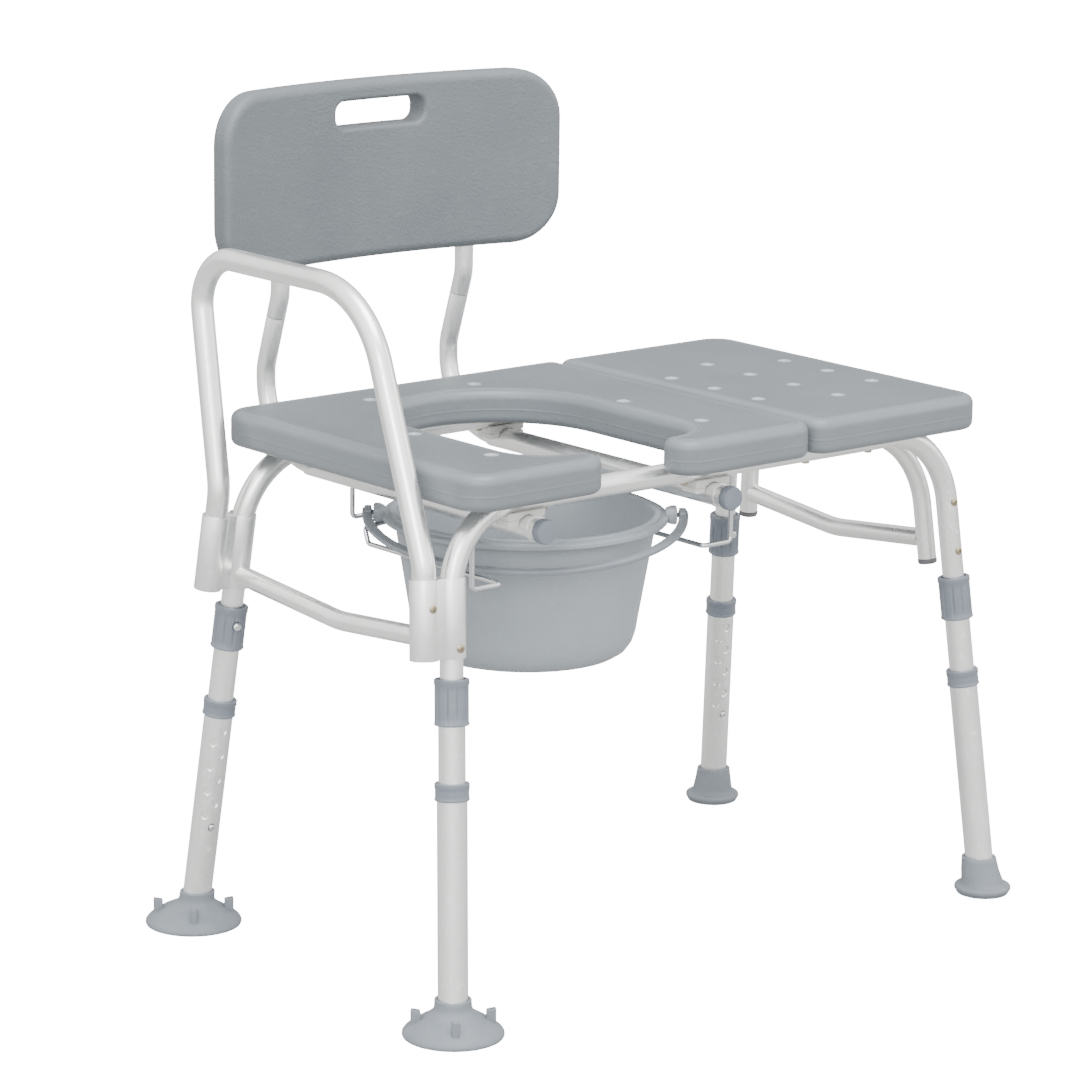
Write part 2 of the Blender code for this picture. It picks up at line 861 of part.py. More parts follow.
def bail_direction():
    return Vector((math.cos(BAIL_TURN), math.sin(BAIL_TURN), 0))


def bucket():
    """A tapered pail with a flanged rim and two lugs bored for the bail's pins."""
    centre = Vector((OPENING_X, BUCKET_Y, 0))
    piece = turned("commode_bucket", bucket_profile(), 32)
    piece.location = centre
    add(piece, BUCKET_PLASTIC)
    for side in (-1, 1):
        spot = centre + bail_direction() * side * (LUG_OUTER - 0.0055)
        spot.z = BAIL_PIVOT_Z
        lug = block(f"bucket_lug_{side + 1}", spot, (0.011, 0.022, 0.017), BAIL_TURN)
        cut(piece, add_cutter(lug), "UNION")
    axis = bail_direction()
    for side in (-1, 1):
        near = centre + axis * side * (RIM_RADIUS + 0.0015)
        far = centre + axis * side * (LUG_OUTER + 0.01)
        near.z = far.z = BAIL_PIVOT_Z
        cut(piece, add_cutter(rod(f"bail_bore_{side + 1}", near, far, 0.0033, 10)))


def bail():
    """A flat strap handle on two pins, hanging to the front over the rack wires."""
    steps = 20
    overrun = math.radians(4)
    angles = [-overrun + (math.pi + 2 * overrun) * i / steps for i in range(steps + 1)]
    outer = [BAIL_OUTER * Vector((math.cos(a), -math.sin(a), 0)) for a in angles]
    inner = [BAIL_INNER * Vector((math.cos(a), -math.sin(a), 0)) for a in reversed(angles)]
    strap = plate("bucket_bail", [outer + inner], BAIL_THICK)
    strap.location = (OPENING_X, BUCKET_Y, BAIL_PIVOT_Z)
    turn = Matrix.Rotation(BAIL_TURN, 3, "Z") @ Matrix.Rotation(BAIL_DROOP, 3, "X")
    strap.rotation_euler = turn.to_euler()
    piece = as_mesh(strap)
    add(piece, BUCKET_PLASTIC)
    centre = Vector((OPENING_X, BUCKET_Y, BAIL_PIVOT_Z))
    for side in (-1, 1):
        near = centre + bail_direction() * side * (RIM_RADIUS + 0.003)
        far = centre + bail_direction() * side * (BAIL_INNER + 0.004)
        cut(piece, add_cutter(rod(f"bail_pin_{side + 1}", near, far, 0.0024, 10)), "UNION")


def bucket_wire(name, side):
    """Half of the rack: hangs from a receiver, passes under the rim and runs forward."""
    x = OPENING_X
    rim_side = x + side * 0.096
    corners = [
        (x + side * BACK_SPREAD, 0.100, RECEIVER_Z - FRAME_TUBE / 2 - 0.0008),
        (x + side * BACK_SPREAD, 0.100, 0.4195),
        (rim_side, 0.100, 0.4195),
        (rim_side, 0.066, 0.4195),
        (x + side * WIRE_RUN_X, 0.066, 0.4170),
        (x + side * WIRE_RUN_X, 0.060, WIRE_RUN_Z),
        (x + side * WIRE_RUN_X, WIRE_FRONT_Y, WIRE_RUN_Z),
        (x + side * WIRE_FRONT_X, WIRE_FRONT_Y, WIRE_RUN_Z),
        (x + side * WIRE_FRONT_X, WIRE_FRONT_Y, SEAT_TOP - SEAT_THICK - 0.001),
    ]
    path = rounded_path(corners, [0.005] * (len(corners) - 2), 2)
    add(tube(name + "_bucket_wire", path, WIRE, None, WIRE_SMOOTHNESS), ZINC_WIRE)


def centre_length():
    """Move the finished bench so that its overall length is centred on the origin."""
    for collection in (BENCH, CUTTERS):
        for obj in collection.objects:
            if not obj.parent:
                obj.location.x += CENTRE_SHIFT


def build():
    bores = {-1: [], 1: []}
    for side_x, end in ((-1, "left"), (1, "right")):
        for side_y, row in ((-1, "front"), (1, "rear")):
            bores[side_y].append(leg(f"{row}_{end}", side_x, side_y))
    frame_tube("front_frame_tube", -1, bores[-1])
    frame_tube("rear_frame_tube", 1, bores[1])
    sleeve_gap = SLEEVE_OUTER / 2 + 0.0012
    cross_brace("left_cross_brace", leg_point(-1, 1, 0.36).x, leg_point(1, 1, 0.36).y - sleeve_gap)
    stub_gap = BRACE_TUBE / 2 + 0.0008
    cross_brace("right_cross_brace", leg_point(1, 1, 0.36).x, stub_offset(1, 0.36).y - stub_gap)
    stub_tube("front_right", -1)
    stub_tube("rear_right", 1)
    channels = [frame_channel("front_frame", -1), frame_channel("rear_frame", 1)]
    sleeve_bracket("front_sleeve_bracket", -1, channels[0])
    sleeve_bracket("rear_sleeve_bracket", 1, channels[1])
    armrest()
    seat_board("commode_seat_board", commode_board_outline(), commode_board_holes(), channels)
    seat_board("transfer_seat_board", transfer_board_outline(), transfer_board_holes(), channels)
    for side, end in ((-1, "left"), (1, "right")):
        x = OPENING_X + side * BACK_SPREAD
        channel = receiver(end, x)
        back_post(end, x)
        saddle(f"front_{end}_saddle", x, -1, [channels[0], channel])
        saddle(f"rear_{end}_saddle", x, 1, [channels[1], channel])
        bucket_wire(end, side)
    back_panel()
    bucket()
    bail()
    centre_length()


build()
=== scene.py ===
# %% [markdown]
# # A bath transfer bench
# This bench stands across the wall of a bath: two grey moulded boards on a splayed aluminium
# frame, with an armrest, a pull-out backrest and a bucket on a wire rack. The lesson builds every
# visible piece over a measured model that already knows how the bench moves. We load that model
# first.

# %% Load the measured model
import math

import bmesh
import bpy
from mathutils import Matrix, Vector


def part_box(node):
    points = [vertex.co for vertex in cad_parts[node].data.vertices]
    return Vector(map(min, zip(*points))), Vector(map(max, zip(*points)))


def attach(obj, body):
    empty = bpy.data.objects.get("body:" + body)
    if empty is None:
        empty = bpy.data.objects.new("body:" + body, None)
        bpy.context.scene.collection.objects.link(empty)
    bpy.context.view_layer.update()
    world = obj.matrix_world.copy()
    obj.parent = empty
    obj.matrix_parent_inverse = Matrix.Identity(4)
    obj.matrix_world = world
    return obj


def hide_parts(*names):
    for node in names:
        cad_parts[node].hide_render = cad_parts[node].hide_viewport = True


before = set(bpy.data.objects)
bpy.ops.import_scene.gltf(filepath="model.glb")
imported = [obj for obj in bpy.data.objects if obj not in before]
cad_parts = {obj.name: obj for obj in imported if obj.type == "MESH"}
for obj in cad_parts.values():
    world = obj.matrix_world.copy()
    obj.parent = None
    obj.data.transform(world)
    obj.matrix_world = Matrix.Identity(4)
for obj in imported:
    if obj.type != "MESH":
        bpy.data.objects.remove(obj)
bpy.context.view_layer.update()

# %% [markdown]
# ## Where things are
# The builder of the real bench works from the middle of the frame. The feet at the armrest end
# reach out further, so the whole bench sits a few millimetres over from that middle. We work from
# the frame's middle too, and find the shift from the two rows of feet.

# %% The frame's middle and the legs' lean
def middle(node):
    """The middle of a plain piece's box."""
    low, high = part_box(node)
    return (Vector(low) + Vector(high)) / 2


CENTRE_SHIFT = (middle("front_left_foot").x + middle("front_right_foot").x) / 2
FOOT_X = middle("front_right_foot").x - CENTRE_SHIFT
FOOT_Y = middle("rear_right_foot").y
LEAN_X = 0.069
LEAN_Y = 0.1064
RAIL_Z = 0.4835
RECEIVER_Z = 0.460
OPENING_X = middle("commode_bucket").x - CENTRE_SHIFT
SEAT_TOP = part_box("transfer_seat_board")[1][2]
SEAT_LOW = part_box("transfer_seat_board")[0][2]
ROWS = (("front", -1), ("rear", 1))
SIDES = (("left", -1), ("right", 1))
LEGS = {
    "front_left": (-1, -1),
    "front_right": (1, -1),
    "rear_left": (-1, 1),
    "rear_right": (1, 1),
}


def leg_point(side_x, side_y, z):
    """Where a leg's axis is at a height."""
    return Vector((side_x * (FOOT_X - LEAN_X * z), side_y * (FOOT_Y - LEAN_Y * z), z))


def up_leg(z):
    """Distance along a leg's axis from the floor to a height."""
    return z * math.sqrt(1 + LEAN_X**2 + LEAN_Y**2)


def leg_matrix(side_x, side_y):
    """Places a piece made upright at the origin on its leg."""
    foot = leg_point(side_x, side_y, 0)
    axis = leg_point(side_x, side_y, 1) - foot
    turn = Vector((0, 0, 1)).rotation_difference(axis)
    return Matrix.Translation(foot) @ turn.to_matrix().to_4x4()


print("shift", round(CENTRE_SHIFT, 4), "feet at", round(FOOT_X, 3), round(FOOT_Y, 3))

# %% [markdown]
# ## Camera, floor and light
# The bench is shown from its front left corner and a little above, with a long lens, so that its
# uprights stay nearly parallel. The floor is a plain pale sheet. The light is that of a white
# tent with its strongest glow above the front left corner, so that each tube is bright along its
# middle and falls off towards its edges.

# %% Camera
def aim_camera():
    """A long lens, placed and turned by its line of sight and a slight roll."""
    data = bpy.data.cameras.new("bench_camera")
    data.sensor_width = 36.0
    data.lens = 142.95
    data.clip_end = 100.0
    camera = bpy.data.objects.new("bench_camera", data)
    forward = Vector((0.62614, 0.74431, -0.23226)).normalized()
    level = Vector((0.7652, -0.6438, 0.0)).normalized()
    upright = level.cross(forward)
    roll = math.radians(0.775)
    right = math.cos(roll) * level + math.sin(roll) * upright
    up = right.cross(forward)
    turn = Matrix((right, up, -forward)).transposed()
    camera.matrix_world = Matrix.Translation((-2.7136 + CENTRE_SHIFT, -3.1331, 1.3709)) @ turn.to_4x4()
    bpy.context.scene.collection.objects.link(camera)
    bpy.context.scene.camera = camera
    return camera


print("camera at", tuple(round(v, 3) for v in aim_camera().matrix_world.translation))

# %% [markdown]
# The floor is one large flat sheet with nothing on it, so the bench stands alone. Lamps strong
# enough to make it pure white would also flood the bench from below, so its paper glows instead:
# strongly to the camera and only a little on to the bench. The Light Path node tells them apart.

# %% Floor
def studio_white():
    """Paper lit from below: it glows strongly to the eye but only a little on to the bench."""
    paint = bpy.data.materials.new("studio_white")
    paint.use_nodes = True
    nodes = paint.node_tree.nodes
    links = paint.node_tree.links
    shader = nodes["Principled BSDF"]
    shader.inputs["Roughness"].default_value = 0.9
    shader.inputs["Specular IOR Level"].default_value = 0.1
    shader.inputs["Base Color"].default_value = (0.32, 0.32, 0.32, 1)
    shader.inputs["Emission Color"].default_value = (1, 1, 1, 1)
    ray = nodes.new("ShaderNodeLightPath")
    glow = nodes.new("ShaderNodeMapRange")
    glow.inputs["To Min"].default_value = 0.12
    glow.inputs["To Max"].default_value = 16.0
    links.new(ray.outputs["Is Camera Ray"], glow.inputs["Value"])
    links.new(glow.outputs["Result"], shader.inputs["Emission Strength"])
    return paint


def lay_floor():
    """One flat sheet for the studio, not part of the bench."""
    mesh = bpy.data.meshes.new("studio_floor")
    reach = 30.0
    corners = [(-reach, -reach, 0), (reach, -reach, 0), (reach, reach, 0), (-reach, reach, 0)]
    mesh.from_pydata(corners, [], [(0, 1, 2, 3)])
    floor = bpy.data.objects.new("studio_floor", mesh)
    bpy.context.scene.collection.objects.link(floor)
    mesh.materials.append(studio_white())
    return floor


print("floor", lay_floor().name)

# %% [markdown]
# Bright aluminium shows whatever stands round it, so the world is a gradient and not one flat
# white: each tube then has a light side and a darker one. Three softboxes go with it, because
# a world alone casts hardly any shadow under the boards.

# %% Light
def light_tent():
    """A world that glows most from above the bench's front left corner."""
    world = bpy.data.worlds.new("white_tent")
    world.use_nodes = True
    bpy.context.scene.world = world
    nodes = world.node_tree.nodes
    links = world.node_tree.links
    place = nodes.new("ShaderNodeTexCoord")
    towards = nodes.new("ShaderNodeVectorMath")
    towards.operation = "DOT_PRODUCT"
    towards.inputs[1].default_value = (-0.50, -0.60, 0.62)
    glow = nodes.new("ShaderNodeMapRange")
    glow.inputs["From Min"].default_value = -1.0
    glow.inputs["To Min"].default_value = 0.12
    glow.inputs["To Max"].default_value = 3.2
    links.new(place.outputs["Generated"], towards.inputs[0])
    links.new(towards.outputs["Value"], glow.inputs["Value"])
    links.new(glow.outputs["Result"], nodes["Background"].inputs["Strength"])
    nodes["Background"].inputs["Color"].default_value = (1, 1, 1, 1)


def hang_softbox(name, place, target, size, power):
    """A rectangular lamp that faces its target."""
    data = bpy.data.lights.new(name, "AREA")
    data.shape = "RECTANGLE"
    data.size = size[0]
    data.size_y = size[1]
    data.energy = power
    lamp = bpy.data.objects.new(name, data)
    away = Vector(target) - Vector(place)
    lamp.matrix_world = Matrix.Translation(place) @ away.to_track_quat("-Z", "Y").to_matrix().to_4x4()
    bpy.context.scene.collection.objects.link(lamp)


light_tent()
hang_softbox("front_softbox", (-2.6, -2.4, 2.2), (0, 0, 0.4), (1.6, 1.6), 46)
hang_softbox("right_softbox", (2.6, -1.6, 1.6), (0, 0, 0.4), (1.0, 1.8), 14)
hang_softbox("top_softbox", (-0.2, -0.5, 2.5), (0, 0, 0.4), (1.3, 1.3), 42)

# %% [markdown]
# ## Finishes
# Several finishes share the same small effects, so each effect is a node group: slow colour
# drift, faint rub marks, the pebbled grain of a mould, and the drawing lines along a tube.
# A group only puts out masks and heights. The shader itself stays in each material.

# %% Shared effects
def effect_group(name, inputs, outputs):
    """An empty shader node group with named number sockets."""
    group = bpy.data.node_groups.new(name, "ShaderNodeTree")
    for label, value in inputs:
        socket = group.interface.new_socket(label, in_out="INPUT", socket_type="NodeSocketFloat")
        socket.default_value = value
    for label in outputs:
        group.interface.new_socket(label, in_out="OUTPUT", socket_type="NodeSocketFloat")
    return group, group.nodes.new("NodeGroupInput"), group.nodes.new("NodeGroupOutput")


def slow_drift_group():
    """A cloudy mask from 0 to 1, for uneven colour and handling marks."""
    group, entry, leave = effect_group("slow_drift", [("Scale", 12.0)], ["Mask"])
    place = group.nodes.new("ShaderNodeTexCoord")
    cloud = group.nodes.new("ShaderNodeTexNoise")
    cloud.inputs["Detail"].default_value = 5.0
    spread = group.nodes.new("ShaderNodeMapRange")
    spread.inputs["From Min"].default_value = 0.3
    spread.inputs["From Max"].default_value = 0.7
    group.links.new(place.outputs["Object"], cloud.inputs["Vector"])
    group.links.new(entry.outputs["Scale"], cloud.inputs["Scale"])
    group.links.new(cloud.outputs["Fac"], spread.inputs["Value"])
    group.links.new(spread.outputs["Result"], leave.inputs["Mask"])
    return group


def mould_grain_group():
    """The pebbled height that a spark-eroded mould leaves on plastic."""
    group, entry, leave = effect_group("mould_grain", [("Scale", 900.0)], ["Height"])
    place = group.nodes.new("ShaderNodeTexCoord")
    pebbles = group.nodes.new("ShaderNodeTexVoronoi")
    pebbles.feature = "SMOOTH_F1"
    fine = group.nodes.new("ShaderNodeTexNoise")
    fine.inputs["Detail"].default_value = 3.0
    blend = group.nodes.new("ShaderNodeMath")
    blend.operation = "ADD"
    group.links.new(place.outputs["Object"], pebbles.inputs["Vector"])
    group.links.new(place.outputs["Object"], fine.inputs["Vector"])
    group.links.new(entry.outputs["Scale"], pebbles.inputs["Scale"])
    group.links.new(entry.outputs["Scale"], fine.inputs["Scale"])
    group.links.new(pebbles.outputs["Distance"], blend.inputs[0])
    group.links.new(fine.outputs["Fac"], blend.inputs[1])
    group.links.new(blend.outputs[0], leave.inputs["Height"])
    return group


def drawing_lines_group():
    """Faint lines along a drawn tube, from the tube's own along and around attributes."""
    group, entry, leave = effect_group("drawing_lines", [("Fineness", 900.0)], ["Height"])
    around = group.nodes.new("ShaderNodeAttribute")
    around.attribute_name = "around"
    along = group.nodes.new("ShaderNodeAttribute")
    along.attribute_name = "along"
    stretch = group.nodes.new("ShaderNodeMath")
    stretch.operation = "MULTIPLY"
    stretch.inputs[1].default_value = 0.012
    split = group.nodes.new("ShaderNodeSeparateXYZ")
    join = group.nodes.new("ShaderNodeCombineXYZ")
    lines = group.nodes.new("ShaderNodeTexNoise")
    lines.inputs["Detail"].default_value = 4.0
    group.links.new(around.outputs["Vector"], split.inputs[0])
    group.links.new(split.outputs["X"], join.inputs["X"])
    group.links.new(split.outputs["Y"], join.inputs["Y"])
    group.links.new(along.outputs["Fac"], stretch.inputs[0])
    group.links.new(stretch.outputs[0], join.inputs["Z"])
    group.links.new(join.outputs[0], lines.inputs["Vector"])
    group.links.new(entry.outputs["Fineness"], lines.inputs["Scale"])
    group.links.new(lines.outputs["Fac"], leave.inputs["Height"])
    return group


def scuff_group():
    """A mask of short, sparse rub marks, such as handling and a cloth leave."""
    group, entry, leave = effect_group("scuffs", [("Scale", 60.0), ("Amount", 0.3)], ["Mask"])
    place = group.nodes.new("ShaderNodeTexCoord")
    squash = group.nodes.new("ShaderNodeMapping")
    squash.inputs["Rotation"].default_value = (0.4, 0.3, 0.6)
    squash.inputs["Scale"].default_value = (1.0, 6.0, 2.5)
    marks = group.nodes.new("ShaderNodeTexNoise")
    marks.inputs["Detail"].default_value = 6.0
    marks.inputs["Distortion"].default_value = 0.4
    sparse = group.nodes.new("ShaderNodeMapRange")
    sparse.inputs["From Min"].default_value = 0.58
    sparse.inputs["From Max"].default_value = 0.72
    scale = group.nodes.new("ShaderNodeMath")
    scale.operation = "MULTIPLY"
    group.links.new(place.outputs["Object"], squash.inputs["Vector"])
    group.links.new(squash.outputs["Vector"], marks.inputs["Vector"])
    group.links.new(entry.outputs["Scale"], marks.inputs["Scale"])
    group.links.new(marks.outputs["Fac"], sparse.inputs["Value"])
    group.links.new(sparse.outputs["Result"], scale.inputs[0])
    group.links.new(entry.outputs["Amount"], scale.inputs[1])
    group.links.new(scale.outputs[0], leave.inputs["Mask"])
    return group


SLOW_DRIFT = slow_drift_group()
SCUFFS = scuff_group()
MOULD_GRAIN = mould_grain_group()
DRAWING_LINES = drawing_lines_group()
print("effects:", SLOW_DRIFT.name, SCUFFS.name, MOULD_GRAIN.name, DRAWING_LINES.name)

# %% [markdown]
# A finish starts from two near colours that drift into each other, a roughness that drifts the
# same way, and a height for its grain. One function lays that out, and each finish gives its own
# numbers: the boards are pebbled, the fittings nearly smooth, and the tubes carry drawing lines.

# %% Finishes
def finish(name, dark, light, roughness, metal=0.0, grain=None, depth=0.0, drift=12.0):
    """A material with drifting colour and roughness, and a grain group for its height."""
    made = bpy.data.materials.new(name)
    made.use_nodes = True
    nodes = made.node_tree.nodes
    links = made.node_tree.links
    shader = nodes["Principled BSDF"]
    shader.inputs["Metallic"].default_value = metal
    cloud = nodes.new("ShaderNodeGroup")
    cloud.node_tree = SLOW_DRIFT
    cloud.inputs["Scale"].default_value = drift
    tint = nodes.new("ShaderNodeMix")
    tint.data_type = "RGBA"
    tint.inputs["A"].default_value = (*dark, 1)
    tint.inputs["B"].default_value = (*light, 1)
    links.new(cloud.outputs["Mask"], tint.inputs["Factor"])
    rub = nodes.new("ShaderNodeGroup")
    rub.node_tree = SCUFFS
    rub.inputs["Amount"].default_value = 0.22
    worn = nodes.new("ShaderNodeMix")
    worn.data_type = "RGBA"
    worn.inputs["B"].default_value = (*[min(1.0, c * 1.25 + 0.02) for c in light], 1)
    links.new(rub.outputs["Mask"], worn.inputs["Factor"])
    links.new(tint.outputs["Result"], worn.inputs["A"])
    links.new(worn.outputs["Result"], shader.inputs["Base Color"])
    rough = nodes.new("ShaderNodeMapRange")
    rough.inputs["To Min"].default_value = roughness[0]
    rough.inputs["To Max"].default_value = roughness[1]
    links.new(cloud.outputs["Mask"], rough.inputs["Value"])
    dull = nodes.new("ShaderNodeMath")
    dull.operation = "ADD"
    links.new(rough.outputs["Result"], dull.inputs[0])
    links.new(rub.outputs["Mask"], dull.inputs[1])
    links.new(dull.outputs[0], shader.inputs["Roughness"])
    if grain:
        relief = nodes.new("ShaderNodeGroup")
        relief.node_tree = grain[0]
        relief.inputs[0].default_value = grain[1]
        bump = nodes.new("ShaderNodeBump")
        bump.inputs["Distance"].default_value = depth
        bump.inputs["Strength"].default_value = 0.6
        links.new(relief.outputs["Height"], bump.inputs["Height"])
        links.new(bump.outputs["Normal"], shader.inputs["Normal"])
    return made


TUBE_SATIN = finish(
    "satin_drawn_aluminium", (0.90, 0.90, 0.88), (0.95, 0.95, 0.935), (0.25, 0.34),
    metal=0.92, grain=(DRAWING_LINES, 900.0), depth=0.00003, drift=7.0,
)
BRACKET_SATIN = finish(
    "satin_extruded_aluminium", (0.86, 0.86, 0.85), (0.91, 0.91, 0.90), (0.32, 0.40),
    metal=0.9, grain=(MOULD_GRAIN, 2600.0), depth=0.00002, drift=20.0,
)
BOARD_GRAIN = finish(
    "pebbled_board_plastic", (0.108, 0.122, 0.133), (0.126, 0.141, 0.152), (0.44, 0.54),
    grain=(MOULD_GRAIN, 430.0), depth=0.0006, drift=9.0,
)
# The edge finish is the field's plastic made lighter: painted light, for sides and rounded edges that catch
# more light than the top.
BOARD_EDGE_PAINTED_LIGHT = finish(
    "smooth_board_plastic", (0.146, 0.163, 0.177), (0.162, 0.180, 0.194), (0.32, 0.42),
    grain=(MOULD_GRAIN, 1500.0), depth=0.00006, drift=9.0,
)
# The drain dishes are the board's plastic painted much lighter: a painted sheen for the light that the dish
# slopes catch.
DRAIN_PAINTED_SHEEN = finish(
    "smooth_drain_plastic", (0.27, 0.295, 0.315), (0.31, 0.335, 0.355), (0.30, 0.40),
    grain=(MOULD_GRAIN, 2200.0), depth=0.00002, drift=30.0,
)
# The strap is the bucket's plastic made darker: painted shade for its side that lies in shadow.
STRAP_PAINTED_SHADE = finish(
    "grey_strap_plastic", (0.170, 0.190, 0.210), (0.190, 0.211, 0.232), (0.28, 0.38),
    grain=(MOULD_GRAIN, 1600.0), depth=0.00003, drift=24.0,
)
FITTING_GREY = finish(
    "grey_fitting_plastic", (0.140, 0.161, 0.192), (0.160, 0.182, 0.213), (0.34, 0.44),
    grain=(MOULD_GRAIN, 2200.0), depth=0.00003, drift=40.0,
)
BUCKET_GREY = finish(
    "light_bucket_plastic", (0.262, 0.291, 0.316), (0.278, 0.307, 0.332), (0.32, 0.36),
    grain=(MOULD_GRAIN, 1400.0), depth=0.00003, drift=14.0,
)
FOOT_RUBBER = finish(
    "grey_foot_rubber", (0.152, 0.173, 0.196), (0.178, 0.199, 0.222), (0.48, 0.62),
    grain=(MOULD_GRAIN, 1800.0), depth=0.00006, drift=50.0,
)
RACK_WIRE = finish(
    "bright_rack_wire", (0.66, 0.68, 0.69), (0.76, 0.77, 0.78), (0.16, 0.26),
    metal=1.0, grain=(DRAWING_LINES, 1500.0), depth=0.00001, drift=30.0,
)
BUTTON_STEEL = finish(
    "polished_button_steel", (0.66, 0.67, 0.68), (0.76, 0.77, 0.78), (0.14, 0.24),
    metal=1.0, grain=(MOULD_GRAIN, 3000.0), depth=0.00001, drift=90.0,
)
SCREW_ZINC = finish(
    "yellow_zinc_screw", (0.34, 0.28, 0.19), (0.52, 0.46, 0.34), (0.24, 0.38),
    metal=1.0, grain=(MOULD_GRAIN, 3000.0), depth=0.00001, drift=160.0,
)
SADDLE_WHITE = finish(
    "white_saddle_plastic", (0.70, 0.70, 0.67), (0.76, 0.76, 0.73), (0.42, 0.52),
    grain=(MOULD_GRAIN, 2000.0), depth=0.00003, drift=40.0,
)
DARK_CAP = finish(
    "dark_cap_plastic", (0.10, 0.10, 0.11), (0.14, 0.14, 0.15), (0.42, 0.55),
    grain=(MOULD_GRAIN, 2400.0), depth=0.00003, drift=60.0,
)
print("finishes:", len(bpy.data.materials))

# %% [markdown]
# ## Helpers for shapes
# Every bent piece follows a line of corners, each rounded by a bend radius, just as a tube bender
# works from a drawing. Pieces are made where they belong and then kept: moved over by the
# shift, smoothed and given the body that they move with, while the plain piece they stand for is hidden.

# %% Rounded paths
def fillet(before, corner, after, radius, steps):
    """The points of the bend that rounds one corner."""
    to_before = (before - corner).normalized()
    to_after = (after - corner).normalized()
    half = to_before.angle(to_after) / 2
    centre = corner + (to_before + to_after).normalized() * radius / math.sin(half)
    start = corner + to_before * radius / math.tan(half) - centre
    end = corner + to_after * radius / math.tan(half) - centre
    axis = start.cross(end).normalized()
    sweep = start.angle(end)
    return [centre + Matrix.Rotation(sweep * i / steps, 3, axis) @ start for i in range(steps + 1)]


def rounded_path(corners, radii, steps=14):
    """A line of corners with a bend at each inner one."""
    corners = [Vector(c) for c in corners]
    points = [corners[0]]
    for i, radius in enumerate(radii, start=1):
        points += fillet(corners[i - 1], corners[i], corners[i + 1], radius, steps)
    return points + [corners[-1]]


def offset_outline(corners, inset, steps=10):
    """A closed outline of (x, y, radius) corners, moved inwards; the point count never changes."""
    spots = [Vector((x, y, 0)) for x, y, _ in corners]
    count = len(spots)
    moved = []
    radii = []
    for i, (_, _, radius) in enumerate(corners):
        before = (spots[i] - spots[i - 1]).normalized()
        after = (spots[(i + 1) % count] - spots[i]).normalized()
        inward_before = Vector((-before.y, before.x, 0))
        inward_after = Vector((-after.y, after.x, 0))
        reach = 1 + inward_before.dot(inward_after)
        moved.append(spots[i] + (inward_before + inward_after) * inset / reach)
        convex = before.cross(after).z > 0
        radii.append(max(radius - inset, 0.0004) if convex else radius + inset)
    points = []
    for i in range(count):
        points += fillet(moved[i - 1], moved[i], moved[(i + 1) % count], radii[i], steps)
    return points


elbow = rounded_path([(0, 0, 0), (1, 0, 0), (1, 1, 0)], [0.09])
print("a path with one bend in 14 steps has", len(elbow), "points")

# %% [markdown]
# A Boolean, a bevel and a node tree all leave their result in a modifier. These helpers turn each
# result into plain mesh at once, so that the next step can work on it. The last one hands a
# finished piece over. It moves the mesh and leaves the object at the origin, so that object
# coordinates and world coordinates are the same for every piece.

# %% Meshes and keeping a piece
def mesh_object(name, vertices, faces, edges=()):
    """A new object with a plain mesh."""
    mesh = bpy.data.meshes.new(name)
    mesh.from_pydata([tuple(v) for v in vertices], list(edges), faces)
    obj = bpy.data.objects.new(name, mesh)
    bpy.context.scene.collection.objects.link(obj)
    return obj


def tidy(obj):
    """Merge doubles and point the faces outwards."""
    body = bmesh.new()
    body.from_mesh(obj.data)
    bmesh.ops.remove_doubles(body, verts=body.verts, dist=2e-6)
    bmesh.ops.recalc_face_normals(body, faces=body.faces)
    body.to_mesh(obj.data)
    body.free()
    return obj


def baked(obj):
    """The object with its modifiers turned into plain mesh."""
    shape = obj.evaluated_get(bpy.context.evaluated_depsgraph_get())
    mesh = bpy.data.meshes.new_from_object(shape)
    mesh.name = obj.name
    obj.modifiers.clear()
    if obj.type != "MESH":
        made = bpy.data.objects.new(obj.name, mesh)
        bpy.data.objects.remove(obj)
        bpy.context.scene.collection.objects.link(made)
        return made
    obj.data = mesh
    return obj


def carve(obj, cutter, operation="DIFFERENCE", materials="INDEX"):
    """Cut or join with another closed piece, which is used up."""
    modifier = obj.modifiers.new("carve", "BOOLEAN")
    modifier.operation = operation
    modifier.solver = "EXACT"
    modifier.material_mode = materials
    modifier.object = cutter
    bpy.context.view_layer.update()
    obj = baked(obj)
    bpy.data.objects.remove(cutter)
    return obj


def soften(obj, width, segments=2, angle=40):
    """Round off the edges that are sharper than an angle."""
    bevel = obj.modifiers.new("soften", "BEVEL")
    bevel.width = width
    bevel.segments = segments
    bevel.limit_method = "ANGLE"
    bevel.angle_limit = math.radians(angle)
    bevel.harden_normals = False
    return baked(obj)


def keep(obj, body, slot, nodes=(), coat=None, crease=32):
    """Finish a piece: place, smoothness, finish, and what it rides on and replaces."""
    obj.data.transform(Matrix.Translation((CENTRE_SHIFT, 0, 0)))
    if coat:
        obj.data.materials.clear()
        obj.data.materials.append(coat)
    obj.data.shade_smooth()
    obj.data.set_sharp_from_angle(angle=math.radians(crease))
    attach(obj, body)
    if nodes:
        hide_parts(*nodes)
    return obj


print("helpers:", ", ".join(h.__name__ for h in (mesh_object, tidy, baked, carve, soften, keep)))

# %% [markdown]
# Feet, collars, buttons and the bucket are round, so they are turned: a profile goes round the Z
# axis, and a function may press flutes or marks into it on the way. Boards, sleeves and the strap
# are lofts, which skin over closed loops with the same number of points.

